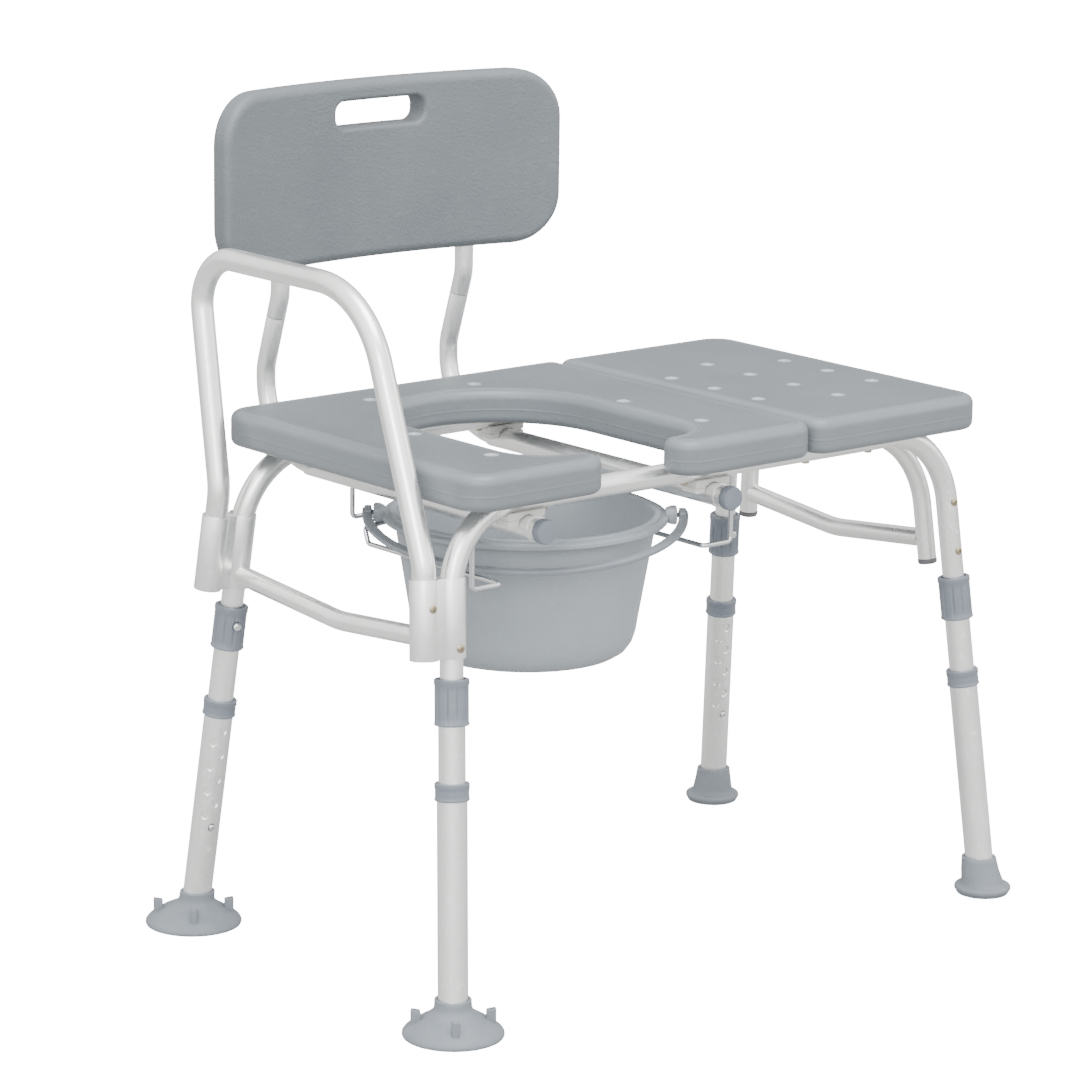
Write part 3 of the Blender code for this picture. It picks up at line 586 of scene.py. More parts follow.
# %% Turned pieces and lofts
def turned(name, profile, sides=64, closed=False, shape=None):
    """Turn (radius, height) points about Z; shape(angle, radius, height) may add to the radius."""
    rows = []
    vertices = []
    for radius, height in profile:
        if radius < 1e-7:
            rows.append([len(vertices)] * sides)
            vertices.append((0, 0, height))
            continue
        rows.append(list(range(len(vertices), len(vertices) + sides)))
        for i in range(sides):
            angle = 2 * math.pi * i / sides
            reach = radius + (shape(angle, radius, height) if shape else 0.0)
            vertices.append((reach * math.cos(angle), reach * math.sin(angle), height))
    faces = []
    pairs = list(zip(rows, rows[1:]))
    if closed:
        pairs.append((rows[-1], rows[0]))
    for upper, lower in pairs:
        for i in range(sides):
            j = (i + 1) % sides
            corners = [upper[i], upper[j], lower[j], lower[i]]
            face = [v for k, v in enumerate(corners) if v != corners[k - 1]]
            if len(set(face)) > 2:
                faces.append(face)
    return tidy(mesh_object(name, vertices, faces))


def loft(name, loops):
    """Skin over closed loops of equal length, with a flat cap on the first and the last."""
    count = len(loops[0])
    vertices = [point for loop in loops for point in loop]
    faces = [list(range(count))[::-1]]
    for k in range(len(loops) - 1):
        for i in range(count):
            j = (i + 1) % count
            faces.append([k * count + i, k * count + j, (k + 1) * count + j, (k + 1) * count + i])
    last = (len(loops) - 1) * count
    faces.append([last + i for i in range(count)])
    return mesh_object(name, vertices, faces)


def arc(centre, radius, start, end, steps):
    """Points of a flat arc, angles in degrees."""
    return [
        (
            centre[0] + radius * math.cos(math.radians(start + (end - start) * i / steps)),
            centre[1] + radius * math.sin(math.radians(start + (end - start) * i / steps)),
        )
        for i in range(steps + 1)
    ]


print("a quarter arc in 6 steps has", len(arc((0, 0), 1, 0, 90, 6)), "points")

# %% [markdown]
# ## Tubes
# Nearly everything that carries weight here is a round tube bent cold. A Geometry Nodes tree
# sweeps a circle along the bend line, which keeps the section true through every bend. It also
# stores how far along and where around the tube each point is, so the drawing lines in the finish
# can follow the bends. Solidify then gives the wall its real thickness.

# %% A tree that sweeps a tube
def start_tree(name, inputs):
    """A node tree with named inputs, and a finish for the result."""
    tree = bpy.data.node_groups.new(name, "GeometryNodeTree")
    tree.is_modifier = True
    tree.interface.new_socket("Geometry", in_out="INPUT", socket_type="NodeSocketGeometry")
    for label, kind in inputs:
        tree.interface.new_socket(label, in_out="INPUT", socket_type=kind)
    tree.interface.new_socket("Finish", in_out="INPUT", socket_type="NodeSocketMaterial")
    tree.interface.new_socket("Geometry", in_out="OUTPUT", socket_type="NodeSocketGeometry")
    return tree, tree.nodes.new("NodeGroupInput"), tree.nodes.new("NodeGroupOutput")


def end_tree(tree, entry, leave, shape):
    """Every tree ends the same way: real geometry, then its finish."""
    realize = tree.nodes.new("GeometryNodeRealizeInstances")
    paint = tree.nodes.new("GeometryNodeSetMaterial")
    tree.links.new(shape, realize.inputs["Geometry"])
    tree.links.new(realize.outputs["Geometry"], paint.inputs["Geometry"])
    tree.links.new(entry.outputs["Finish"], paint.inputs["Material"])
    tree.links.new(paint.outputs["Geometry"], leave.inputs["Geometry"])
    return tree


def store(tree, geometry, kind, label, value):
    """Keep a value on each point under a name that a finish can read."""
    node = tree.nodes.new("GeometryNodeStoreNamedAttribute")
    node.data_type = kind
    node.domain = "POINT"
    node.inputs["Name"].default_value = label
    tree.links.new(geometry, node.inputs["Geometry"])
    tree.links.new(value, [s for s in node.inputs if s.name == "Value" and s.enabled][0])
    return node.outputs["Geometry"]


def tube_tree():
    """Sweeps a circle along a line of edges."""
    tree, entry, leave = start_tree(
        "bent_tube",
        [("Radius", "NodeSocketFloat"), ("Sides", "NodeSocketInt"), ("Capped", "NodeSocketBool")],
    )
    line = tree.nodes.new("GeometryNodeMeshToCurve")
    length = tree.nodes.new("GeometryNodeSplineParameter")
    circle = tree.nodes.new("GeometryNodeCurvePrimitiveCircle")
    spot = tree.nodes.new("GeometryNodeInputPosition")
    sweep = tree.nodes.new("GeometryNodeCurveToMesh")
    tree.links.new(entry.outputs["Geometry"], line.inputs["Mesh"])
    tree.links.new(entry.outputs["Radius"], circle.inputs["Radius"])
    tree.links.new(entry.outputs["Sides"], circle.inputs["Resolution"])
    tree.links.new(entry.outputs["Capped"], sweep.inputs["Fill Caps"])
    path = store(tree, line.outputs["Curve"], "FLOAT", "along", length.outputs["Length"])
    ring = store(tree, circle.outputs["Curve"], "FLOAT_VECTOR", "around", spot.outputs["Position"])
    tree.links.new(path, sweep.inputs["Curve"])
    tree.links.new(ring, sweep.inputs["Profile Curve"])
    return end_tree(tree, entry, leave, sweep.outputs["Mesh"])


def run_tree(host, tree, values):
    """Set a tree's inputs by their identifiers, then bake the result."""
    modifier = host.modifiers.new(tree.name, "NODES")
    modifier.node_group = tree
    for item in tree.interface.items_tree:
        if item.in_out == "INPUT" and item.name in values:
            modifier[item.identifier] = values[item.name]
    return baked(host)


TUBE_TREE = tube_tree()


def tube(name, path, diameter, wall=None, coat=TUBE_SATIN, sides=40):
    """A bent tube, open and hollow if it has a wall, or a capped rod."""
    edges = [(i, i + 1) for i in range(len(path) - 1)]
    host = mesh_object(name, path, [], edges)
    values = {"Radius": diameter / 2, "Sides": sides, "Capped": wall is None, "Finish": coat}
    made = run_tree(host, TUBE_TREE, values)
    if wall:
        tidy(made)
        shell = made.modifiers.new("wall", "SOLIDIFY")
        shell.thickness = wall
        shell.offset = -1
        made = baked(made)
    return tidy(made)


print("tree:", TUBE_TREE.name, "with", len(TUBE_TREE.nodes), "nodes")

# %% [markdown]
# ## Copies on points
# Screws, punched holes, drain holes and the tongues on the suction feet are each one shape
# repeated where a list of spots says. A second tree does that: each spot carries the direction it
# faces, and the tree turns a copy to it.

# %% A tree that sets copies on spots
def copies_tree(axis):
    """Sets a copy of a piece on each point, with one of its axes along the point's facing."""
    tree, entry, leave = start_tree("copies_on_spots_" + axis, [("Piece", "NodeSocketObject")])
    piece = tree.nodes.new("GeometryNodeObjectInfo")
    facing = tree.nodes.new("GeometryNodeInputNamedAttribute")
    facing.data_type = "FLOAT_VECTOR"
    facing.inputs["Name"].default_value = "facing"
    align = tree.nodes.new("FunctionNodeAlignRotationToVector")
    align.axis = axis
    copies = tree.nodes.new("GeometryNodeInstanceOnPoints")
    tree.links.new(entry.outputs["Piece"], piece.inputs["Object"])
    tree.links.new(facing.outputs["Attribute"], align.inputs["Vector"])
    tree.links.new(entry.outputs["Geometry"], copies.inputs["Points"])
    tree.links.new(piece.outputs["Geometry"], copies.inputs["Instance"])
    tree.links.new(align.outputs["Rotation"], copies.inputs["Rotation"])
    return end_tree(tree, entry, leave, copies.outputs["Instances"])


COPIES = {axis: copies_tree(axis) for axis in "XZ"}


def copies(name, piece, spots, coat=None, axis="Z"):
    """One mesh of copies of a piece, its axis turned to each (place, direction)."""
    host = mesh_object(name, [place for place, _ in spots], [])
    facing = host.data.attributes.new("facing", "FLOAT_VECTOR", "POINT")
    facing.data.foreach_set("vector", [c for _, way in spots for c in Vector(way).normalized()])
    made = run_tree(host, COPIES[axis], {"Piece": piece, "Finish": coat or TUBE_SATIN})
    bpy.data.objects.remove(piece)
    return made


def punch(radius, length, flare=0.0):
    """A cutter for a round hole at its spot; a flare leaves the rim dished like a punched hole."""
    wide = radius + flare
    profile = [(0, length), (wide, length), (wide, flare * 0.2)]
    profile += [(radius, -flare * 0.8), (radius, -length), (0, -length)]
    return turned("punch", profile, 28)


def drilled(piece, spots, radius, place, flare=0.0):
    """Punch round holes at spots given in the leg's own coordinates."""
    turn = place.to_3x3()
    placed = [(place @ spot, turn @ way) for spot, way in spots]
    return tidy(carve(piece, copies("punches", punch(radius, 0.006, flare), placed)))


print("trees:", [tree.name for tree in COPIES.values()])

# %% [markdown]
# ## The frame
# Two inverted U tubes carry the seat. Their legs lean outwards both ways, so the bends are a
# little more open than square. The ends go down inside the leg tubes and are held by the collars.

# %% Frame tubes
BUTTON_HOLE_Z = 0.105
BUTTON_Z = 0.3135
HOLE_ANGLES = (math.radians(260), math.radians(225))


def radial(angle, radius, height):
    """A point round a leg's axis, in the leg's own coordinates."""
    return Vector((radius * math.cos(angle), radius * math.sin(angle), height))


def button_spot(side_y, radius, z):
    """Where a snap button meets a tube, and the way it faces; the front legs turn the other way."""
    angle = HOLE_ANGLES[0] + (0.0 if side_y > 0 else math.pi)
    return radial(angle, radius, up_leg(z)), radial(angle, 1, 0)


def frame_path(side_y, low=0.262):
    """The bend line of an inverted U tube, its open ends at a height."""
    corners = [
        leg_point(-1, side_y, low),
        leg_point(-1, side_y, RAIL_Z),
        leg_point(1, side_y, RAIL_Z),
        leg_point(1, side_y, low),
    ]
    return rounded_path(corners, [0.080, 0.080], 20)


FRAME_TUBE = 0.0222
FRAME_WALL = 0.0014
RAIL_CHANNEL = FRAME_TUBE + 0.0008
BUTTON_HOLE = 0.0047
for row, side_y in ROWS:
    piece = tube(row + "_u_tube", frame_path(side_y), FRAME_TUBE, FRAME_WALL)
    for side_x in (-1, 1):
        hole = button_spot(side_y, 0.0105, BUTTON_Z)
        piece = drilled(piece, [hole], BUTTON_HOLE, leg_matrix(side_x, side_y))
    keep(piece, "frame", "satin_aluminium", [row + "_frame_tube"], TUBE_SATIN)
bend_line = frame_path(1)
print("frame tube length", round(sum((b - a).length for a, b in zip(bend_line, bend_line[1:])), 3))

# %% [markdown]
# The side braces are short tubes that dip in the middle. The left one meets the armrest's
# sleeves. The right one hangs between two small bent tubes that tuck up under the seat, each
# closed below by a dark cap.

# %% Braces and stub tubes
BRACE_TUBE = 0.019


def stub_point(side_y, z):
    """Where a stub tube's axis is at a height: beside the right leg, towards the middle."""
    return leg_point(1, side_y, z) - Vector((0, side_y * 0.036, 0))


def brace(name, x, half_length):
    """A short tube from front to rear that dips in the middle."""
    corners = [(x, half_length, 0.363), (x, 0, 0.350), (x, -half_length, 0.363)]
    piece = tube(name + "_tube", rounded_path(corners, [0.12]), BRACE_TUBE, FRAME_WALL)
    keep(piece, "frame", "satin_aluminium", [name], TUBE_SATIN)


brace("left_cross_brace", leg_point(-1, 1, 0.36).x, leg_point(1, 1, 0.36).y - 0.0118)
brace("right_cross_brace", leg_point(1, 1, 0.36).x, stub_point(1, 0.36).y - 0.0066)


def cap_profile(radius, height, flange=0.0):
    """A plug with a domed face, its open side at height 0 and its face below."""
    return [
        (0.0, 0.0),
        (radius - 0.0006, 0.0),
        (radius, -0.0006),
        (radius + flange, -0.0012),
        (radius + flange, -height + 0.0020),
        (radius + flange - 0.0007, -height + 0.0007),
        (radius - 0.003, -height + 0.0002),
        (0.0, -height),
    ]


for row, side_y in ROWS:
    low = stub_point(side_y, 0.343)
    top = stub_point(side_y, 0.480)
    path = rounded_path([low, top, top - Vector((0.115, 0, 0))], [0.088], 18)
    piece = tube(row + "_bent_stub", path, BRACE_TUBE, FRAME_WALL)
    keep(piece, "frame", "satin_aluminium", [row + "_right_stub_tube"], TUBE_SATIN)
    cap = turned(row + "_stub_plug", cap_profile(BRACE_TUBE / 2 + 0.0004, 0.0055))
    lean = leg_matrix(1, side_y).to_3x3().to_4x4()
    cap.data.transform(Matrix.Translation(stub_point(side_y, 0.3425)) @ lean)
    keep(cap, "frame", "grey_fitting_plastic", [row + "_right_stub_cap"], DARK_CAP)
print("braces and stubs done")

# %% [markdown]
# ## Legs
# A leg has an inner tube, a ribbed collar that locks it to the frame with a snap button, and an
# outer extension that slides on it. The extension has two staggered columns of holes, each half a
# pitch apart, so that the height can be set in small steps. Its own small collar guides it.

# %% Leg tubes, collars and extensions
LEG_TUBE = 0.0254
EXTENSION_TUBE = 0.0286
EXTENSION_TOP = 0.218
HOLE_PITCH = 0.0252
COLLAR_RADIUS = 0.0165
COLLAR_LOW = 0.288
COLLAR_HIGH = 0.331
COLLAR_LIP = 0.0050


def flutes(depth, low, high, count=10):
    """A radius change that presses shallow flutes between two heights."""

    def shape(angle, radius, height):
        inside = min(max((height - low) / 0.0012, 0), 1) * min(max((high - height) / 0.0012, 0), 1)
        wave = math.cos(angle * count)
        return -depth * inside * max(0.0, wave) ** 6 if radius > 0.0145 else 0.0

    return shape


def collar_profile(inner, outer, low, high, lip):
    """A sleeve with a rounded lip at the top and a bead at the bottom."""
    body = outer - 0.0005
    points = [(inner, high), (inner + 0.0006, high), (outer - 0.0008, high), (outer, high - 0.0008)]
    points += [(outer, high - lip), (body, high - lip - 0.0010)]
    steps = 8
    for i in range(1, steps):
        points.append((body, high - lip - 0.001 + (low + 0.003 - high + lip + 0.001) * i / steps))
    points += [(body, low + 0.0030), (outer, low + 0.0022), (outer, low + 0.0008), (outer - 0.0008, low)]
    return points + [(inner + 0.0006, low), (inner, low)]


def straight_tube(name, low, high, diameter, wall, place):
    """A leg's straight tube, with enough rings for its lines to read well."""
    path = [Vector((0, 0, low + (high - low) * i / 6)) for i in range(7)]
    piece = tube(name, path, diameter, wall)
    piece.data.transform(place)
    return piece


for leg, (side_x, side_y) in LEGS.items():
    place = leg_matrix(side_x, side_y)
    turn = 0.0 if side_y > 0 else math.pi
    inner = straight_tube(leg + "_inner_tube", up_leg(0.096), up_leg(0.329), LEG_TUBE, 0.0012, place)
    button_holes = [button_spot(side_y, 0.0122, z) for z in (BUTTON_HOLE_Z, BUTTON_Z)]
    inner = drilled(inner, button_holes, BUTTON_HOLE, place)
    keep(inner, "frame", "satin_aluminium", [leg + "_leg_tube"], TUBE_SATIN)
    sleeve = turned(
        leg + "_ribbed_collar",
        collar_profile(0.0130, COLLAR_RADIUS, up_leg(COLLAR_LOW), up_leg(COLLAR_HIGH), COLLAR_LIP),
        120, True, flutes(0.0011, up_leg(COLLAR_LOW) + 0.003, up_leg(COLLAR_HIGH) - 0.006),
    )
    sleeve.data.transform(place)
    sleeve = drilled(sleeve, [button_spot(side_y, 0.0155, BUTTON_Z)], BUTTON_HOLE, place)
    keep(sleeve, "frame", "grey_fitting_plastic", [leg + "_leg_collar"], FITTING_GREY)
    low, high = up_leg(0.012), up_leg(EXTENSION_TOP)
    outer = straight_tube(leg + "_outer_tube", low, high, EXTENSION_TUBE, 0.0012, place)
    spots = []
    for column, angle in enumerate(HOLE_ANGLES):
        for i in range(5 - column):
            height = up_leg(BUTTON_HOLE_Z + column * HOLE_PITCH / 2 + i * HOLE_PITCH)
            spots.append((radial(angle + turn, 0.0143, height), radial(angle + turn, 1, 0)))
    outer = drilled(outer, spots, 0.0036, place, 0.0013)
    keep(outer, leg + "_extension", "satin_aluminium", [leg + "_leg_extension"], TUBE_SATIN)
    guide = turned(
        leg + "_guide_collar",
        collar_profile(0.0131, COLLAR_RADIUS, high + 0.0003, up_leg(0.235), COLLAR_LIP),
        96, True,
    )
    guide.data.transform(place)
    keep(guide, leg + "_extension", "grey_fitting_plastic", [leg + "_extension_collar"], FITTING_GREY)
print("legs done:", list(LEGS))

# %% [markdown]
# The snap buttons are domed steel pins on a spring inside the tube. Each is turned, with a smooth
# dome so that a thumb can press it.

# %% Snap buttons
def button_profile(radius, height):
    """A pin with a full-round shoulder and a slightly flat top."""
    points = [(0.0, height), (radius * 0.45, height - radius * 0.02)]
    points += arc((radius * 0.45, height - radius * 0.57), radius * 0.55, 78, 0, 6)
    return points + [(radius, 0.0003), (radius - 0.0003, 0.0), (0.0, 0.0)]


for leg, (side_x, side_y) in LEGS.items():
    place = leg_matrix(side_x, side_y)
    for label, radius, height, reach, z in (
        ("collar_button", 0.0042, 0.0085, 0.011, BUTTON_Z),
        ("height_button", 0.0033, 0.0030, 0.0131, BUTTON_HOLE_Z),
    ):
        spot, facing = button_spot(side_y, reach, z)
        way = Vector((0, 0, 1)).rotation_difference(facing).to_matrix().to_4x4()
        button = turned(f"{leg}_{label}_pin", button_profile(radius, height), 32)
        button.data.transform(place @ Matrix.Translation(spot) @ way)
        keep(button, f"{leg}_{label}", "button_steel", [f"{leg}_{label}"], BUTTON_STEEL)
print("buttons: two on each leg")

# %% [markdown]
# ## Feet
# At the armrest end the bench stands inside the bath on suction cups: a thin domed skirt, a neck
# that grips the leg, and upright tongues to peel the cup off. The other feet are plain rubber
# tips. The cup stays level while its neck leans with the leg, so the turned shape is pushed over a
# little more the higher it goes.

# %% Suction cups and rubber tips
def cup_profile():
    """A suction cup: a neck, a waist and a thin skirt, hollow below."""
    outside = [(0.0147, 0.0335), (0.0150, 0.0340), (0.0170, 0.0340), (0.0175, 0.0335)]
    outside += [(0.0176, 0.0300), (0.0178, 0.0272), (0.0184, 0.0250), (0.0198, 0.0230)]
    outside += [(0.0224, 0.0210), (0.0262, 0.0190), (0.0318, 0.0160), (0.0376, 0.0124), (0.0428, 0.0088)]
    outside += [(0.0461, 0.0060), (0.0478, 0.0036), (0.0480, 0.0016), (0.0474, 0.0003), (0.0462, 0.0)]
    under = [(0.0440, 0.0002), (0.0400, 0.0024), (0.0300, 0.0048), (0.0150, 0.0056), (0.0, 0.0058)]
    return [(0.0, 0.0095), (0.0140, 0.0095), (0.0147, 0.0102)] + outside + under


def tip_profile():
    """A rubber tip: a tapered neck on a wide flat base."""
    outside = [(0.0147, 0.0375), (0.0150, 0.0380), (0.0172, 0.0380), (0.0178, 0.0374)]
    outside += [(0.0183, 0.0330), (0.0196, 0.0240), (0.0210, 0.0160), (0.0218, 0.0118), (0.0226, 0.0100)]
    outside += [(0.0244, 0.0092), (0.0272, 0.0088), (0.0284, 0.0080), (0.0290, 0.0068)]
    outside += [(0.0290, 0.0050), (0.0284, 0.0036), (0.0276, 0.0032), (0.0272, 0.0028)]
    outside += [(0.0270, 0.0010), (0.0262, 0.0)]
    return [(0.0, 0.0095), (0.0140, 0.0095), (0.0147, 0.0102)] + outside + [(0.0, 0.0)]


def tongue():
    """A tab to lift the cup by: a U section, open towards the neck, its flanges cut on a slope."""
    outline = [
        (-0.0050, -0.0038, 0.0008),
        (0.0044, -0.0038, 0.0022),
        (0.0044, 0.0038, 0.0022),
        (-0.0050, 0.0038, 0.0008),
        (-0.0050, 0.0015, 0.0006),
        (0.0014, 0.0015, 0.0010),
        (0.0014, -0.0015, 0.0010),
        (-0.0050, -0.0015, 0.0006),
    ]
    loops = []
    for z, inset in ((0.0060, 0.0), (0.0244, 0.0), (0.0254, 0.0002), (0.0260, 0.0005), (0.0262, 0.0007)):
        drop = 0.18 * (z - 0.0060) / 0.0202
        points = offset_outline(outline, inset, 4)
        loops.append([Vector((p.x, p.y, z - drop * (0.0044 - p.x))) for p in points])
    return tidy(loft("tongue", loops))


def lean_over(obj, side_x, side_y):
    """Push the upper part over so that its middle stays on the leg's axis."""
    for vertex in obj.data.vertices:
        z = vertex.co.z
        share = min(max((z - 0.008) / 0.014, 0), 1)
        near = 1 - min(max((math.hypot(vertex.co.x, vertex.co.y) - 0.022) / 0.008, 0), 1)
        push = z * share * near
        vertex.co.x -= side_x * LEAN_X * push
        vertex.co.y -= side_y * LEAN_Y * push


for leg, (side_x, side_y) in LEGS.items():
    if side_x < 0:
        foot = turned(leg + "_suction_cup", cup_profile(), 96)
        angles = [math.radians(55 + 90 * i) for i in range(4)]
        lean_over(foot, side_x, side_y)
        spots = [(radial(a, 0.0355, 0), radial(a, 1, 0)) for a in angles]
        foot = carve(foot, copies("tongues", tongue(), spots, FOOT_RUBBER, "X"), "UNION")
    else:
        foot = turned(leg + "_rubber_tip", tip_profile(), 72)
        lean_over(foot, side_x, side_y)
    foot.data.transform(Matrix.Translation(leg_point(side_x, side_y, 0)))
    keep(foot, leg + "_extension", "grey_rubber", [leg + "_foot"], FOOT_RUBBER, 40)
print("feet done")

# %% [markdown]
# ## Armrest
# The armrest is one tube with four bends. Its legs drop into the outer half of two double
# sleeves, extrusions that clamp beside the frame legs.

# %% Armrest and its double sleeves
ARM_OFFSET = 0.032
SLEEVE_LOW = 0.350
SLEEVE_HIGH = 0.424
SLEEVE_RADIUS = 0.0136
ARM_HEIGHT = 0.675


def arm_point(side_y, z):
    """Where an armrest leg's axis is at a height."""
    return leg_point(-1, side_y, z) - Vector((ARM_OFFSET, 0, 0))


def sleeve_loops(low, high):
    """The outline of the extrusion: two rings that meet in a waist."""
    waist = 32
    leg_ring = arc((0, 0), SLEEVE_RADIUS, -180 + waist, 180 - waist, 40)
    arm_ring = arc((-ARM_OFFSET, 0), SLEEVE_RADIUS, waist, 360 - waist, 40)
    outline = leg_ring + arm_ring
    return [[Vector((x, y, z)) for x, y in outline] for z in (low, high)]


for row, side_y in ROWS:
    sleeve = loft(row + "_double_sleeve", sleeve_loops(up_leg(SLEEVE_LOW), up_leg(SLEEVE_HIGH)))
    for x in (0, -ARM_OFFSET):
        bore = turned("bore", [(0, 0.6), (0.0117, 0.6), (0.0117, 0.2), (0, 0.2)], 48)
        bore.data.transform(Matrix.Translation((x, 0, 0)))
        sleeve = carve(sleeve, bore)
    sleeve = soften(tidy(sleeve), 0.0004, 2, 60)
    sleeve.data.transform(leg_matrix(-1, side_y))
    curved = tube("curved_bore", frame_path(side_y), RAIL_CHANNEL)
    sleeve = carve(sleeve, curved)
    keep(sleeve, "frame", "satin_aluminium", [row + "_sleeve_bracket"], BRACKET_SATIN)

plane_x = arm_point(-1, ARM_HEIGHT).x
arm_corners = [
    arm_point(1, SLEEVE_LOW + 0.003),
    arm_point(1, 0.452),
    (plane_x, 0.2155, ARM_HEIGHT),
    (plane_x, -0.051, ARM_HEIGHT),
    arm_point(-1, 0.439),
    arm_point(-1, SLEEVE_LOW + 0.003),
]
arm = tube("armrest_bar", rounded_path(arm_corners, [0.07, 0.045, 0.11, 0.05], 20), FRAME_TUBE, FRAME_WALL)
keep(arm, "frame", "satin_aluminium", ["armrest_tube"], TUBE_SATIN)
print("armrest top at", round(ARM_HEIGHT + FRAME_TUBE / 2, 4))

# %% [markdown]
# ## Seat boards
# The boards are blow-moulded: soft edges, a fine parting line round the side where the mould
# halves met, and a pebbled field inside a smooth border. Each board is a loft over copies of one
# outline. The copies step in round the bottom edge, out to the side, over the top edge and down
# into the narrow groove that frames the field, so every line on the board runs parallel.

# %% Board outlines and lofts
def board_profile(low, high, bottom_round, top_round):
    """(inset, height) steps from the underside round to the field."""
    points = [(0.013, low), (bottom_round + 0.001, low)]
    points += arc((bottom_round, low + bottom_round), bottom_round, 270, 180, 6)
    seam = low + (high - low) * 0.42
    points += [(0.0, low + bottom_round + 0.0008), (0.0, seam - 0.0018)]
    points += [(0.0, seam - 0.0007), (-0.00015, seam - 0.0003), (-0.00015, seam + 0.0003)]
    points += [(0.0, seam + 0.0007), (0.0, seam + 0.0018), (0.0, high - top_round - 0.0008)]
    points += arc((top_round, high - top_round), top_round, 180, 90, 8)
    points += [(top_round + 0.0006, high), (0.0108, high), (0.0114, high - 0.0008), (0.0124, high - 0.0008)]
    return points + [(0.0130, high - 0.0001), (0.0136, high), (0.0142, high)]


def board(name, corners, low, high):
    """A seat board, with grain on the field and a smooth edge; the edge's lighter colour is painted light
    on its sides.
    """
    loops = [
        [Vector((p.x, p.y, z)) for p in offset_outline(corners, inset)]
        for inset, z in board_profile(low, high, 0.007, 0.009)
    ]
    made = loft(name, loops)
    made.data.materials.append(BOARD_EDGE_PAINTED_LIGHT)
    made.data.materials.append(BOARD_GRAIN)
    made.data.polygons[len(made.data.polygons) - 1].material_index = 1
    return made


def rail_channels(made):
    """Press the half-round channels that the rails lie in."""
    for side_y in (-1, 1):
        made = carve(made, tube("channel", frame_path(side_y), RAIL_CHANNEL, None, BOARD_EDGE_PAINTED_LIGHT, 32))
    return made


def drain_punch():
    """A drain hole at the bottom of a shallow dish that leads the water in."""
    points = [(0.0, 0.010), (0.0074, 0.010), (0.0074, 0.0002), (0.0070, -0.0004), (0.0062, -0.0010)]
    points += [(0.0052, -0.0015), (0.0044, -0.0022), (0.0040, -0.0036), (0.0040, -0.06), (0.0, -0.06)]
    return turned("drain_punch", points, 32)


OPENING_HALF = 0.1075
MOUTH_HALF = 0.046
BOARD_FRONT = -0.206
BOARD_REAR = 0.190
BOARD_SIDE = 0.328
COMMODE_CORNERS = [
    (-BOARD_SIDE, BOARD_FRONT, 0.030),
    (OPENING_X - MOUTH_HALF, BOARD_FRONT, 0.027),
    (OPENING_X - MOUTH_HALF, -0.163, 0.015),
    (OPENING_X - OPENING_HALF, -0.163, 0.045),
    (OPENING_X - OPENING_HALF, 0.118, 0.105),
    (OPENING_X + OPENING_HALF, 0.118, 0.105),
    (OPENING_X + OPENING_HALF, -0.163, 0.045),
    (OPENING_X + MOUTH_HALF, -0.163, 0.015),
    (OPENING_X + MOUTH_HALF, BOARD_FRONT, 0.027),
    (0.096, BOARD_FRONT, 0.020),
    (0.096, BOARD_REAR, 0.014),
    (-BOARD_SIDE, BOARD_REAR, 0.030),
]
TRANSFER_CORNERS = [
    (0.100, BOARD_FRONT, 0.020),
    (BOARD_SIDE, BOARD_FRONT, 0.030),
    (BOARD_SIDE, BOARD_REAR, 0.030),
    (0.100, BOARD_REAR, 0.014),
]
transfer_holes = [
    (0.1294 + row * 0.078, -0.022 + (i - (count - 1) / 2) * 0.0646)
    for row, count in enumerate((3, 4, 3))
    for i in range(count)
]
commode_holes = [
    (OPENING_X + side * x, y)
    for x, y in ((0.131, -0.016), (0.131, -0.131), (0.066, 0.137))
    for side in (-1, 1)
]

for name, corners, holes in (
    ("commode_seat_board", COMMODE_CORNERS, commode_holes),
    ("transfer_seat_board", TRANSFER_CORNERS, transfer_holes),
):
    made = rail_channels(board(name.replace("board", "shell"), corners, SEAT_LOW, SEAT_TOP))
    spots = [(Vector((x, y, SEAT_TOP)), (0, 0, 1)) for x, y in holes]
    # The dish faces take the drain finish, whose lighter colour is a painted sheen.
    made = carve(made, copies("drains", drain_punch(), spots, DRAIN_PAINTED_SHEEN), materials="TRANSFER")
    keep(made, "frame", "grey_board_plastic", [name])
    print(name, len(made.data.polygons), "faces,", len(holes), "drain holes")

# %% [markdown]
# ## Receivers, saddles and the backrest
# Two straight receiver tubes hang under the seat in white saddle blocks. The back posts slide
# into them from the rear. Each post is a lower bend and an upper piece that plugs into the panel.

# %% Receivers and saddles
BACK_SPREAD = 0.116
lying = Matrix.Rotation(math.radians(-90), 4, "X")
for side, sign in SIDES:
    x = OPENING_X + sign * BACK_SPREAD
    path = [Vector((x, 0.168 + (-0.186 - 0.168) * i / 8, RECEIVER_Z)) for i in range(9)]
    piece = tube(side + "_receiver_tube", path, FRAME_TUBE, 0.0010)
    keep(piece, "frame", "satin_aluminium", [side + "_back_receiver"], TUBE_SATIN)
    cap = turned(side + "_receiver_plug", cap_profile(0.0112, 0.0097, 0.0006), 64)
    cap.data.transform(Matrix.Translation((x, -0.1863, RECEIVER_Z)) @ lying)
    keep(cap, "frame", "grey_fitting_plastic", [side + "_receiver_cap"], FITTING_GREY)
    ring = turned(
        side + "_receiver_band",
        [(0.01115, 0.0060), (0.0118, 0.0058), (0.0118, 0.0002), (0.01115, 0.0)], 64, True,
    )
    ring.data.transform(Matrix.Translation((x, -0.1785, RECEIVER_Z)) @ lying)
    keep(ring, "frame", "satin_aluminium", (), TUBE_SATIN)


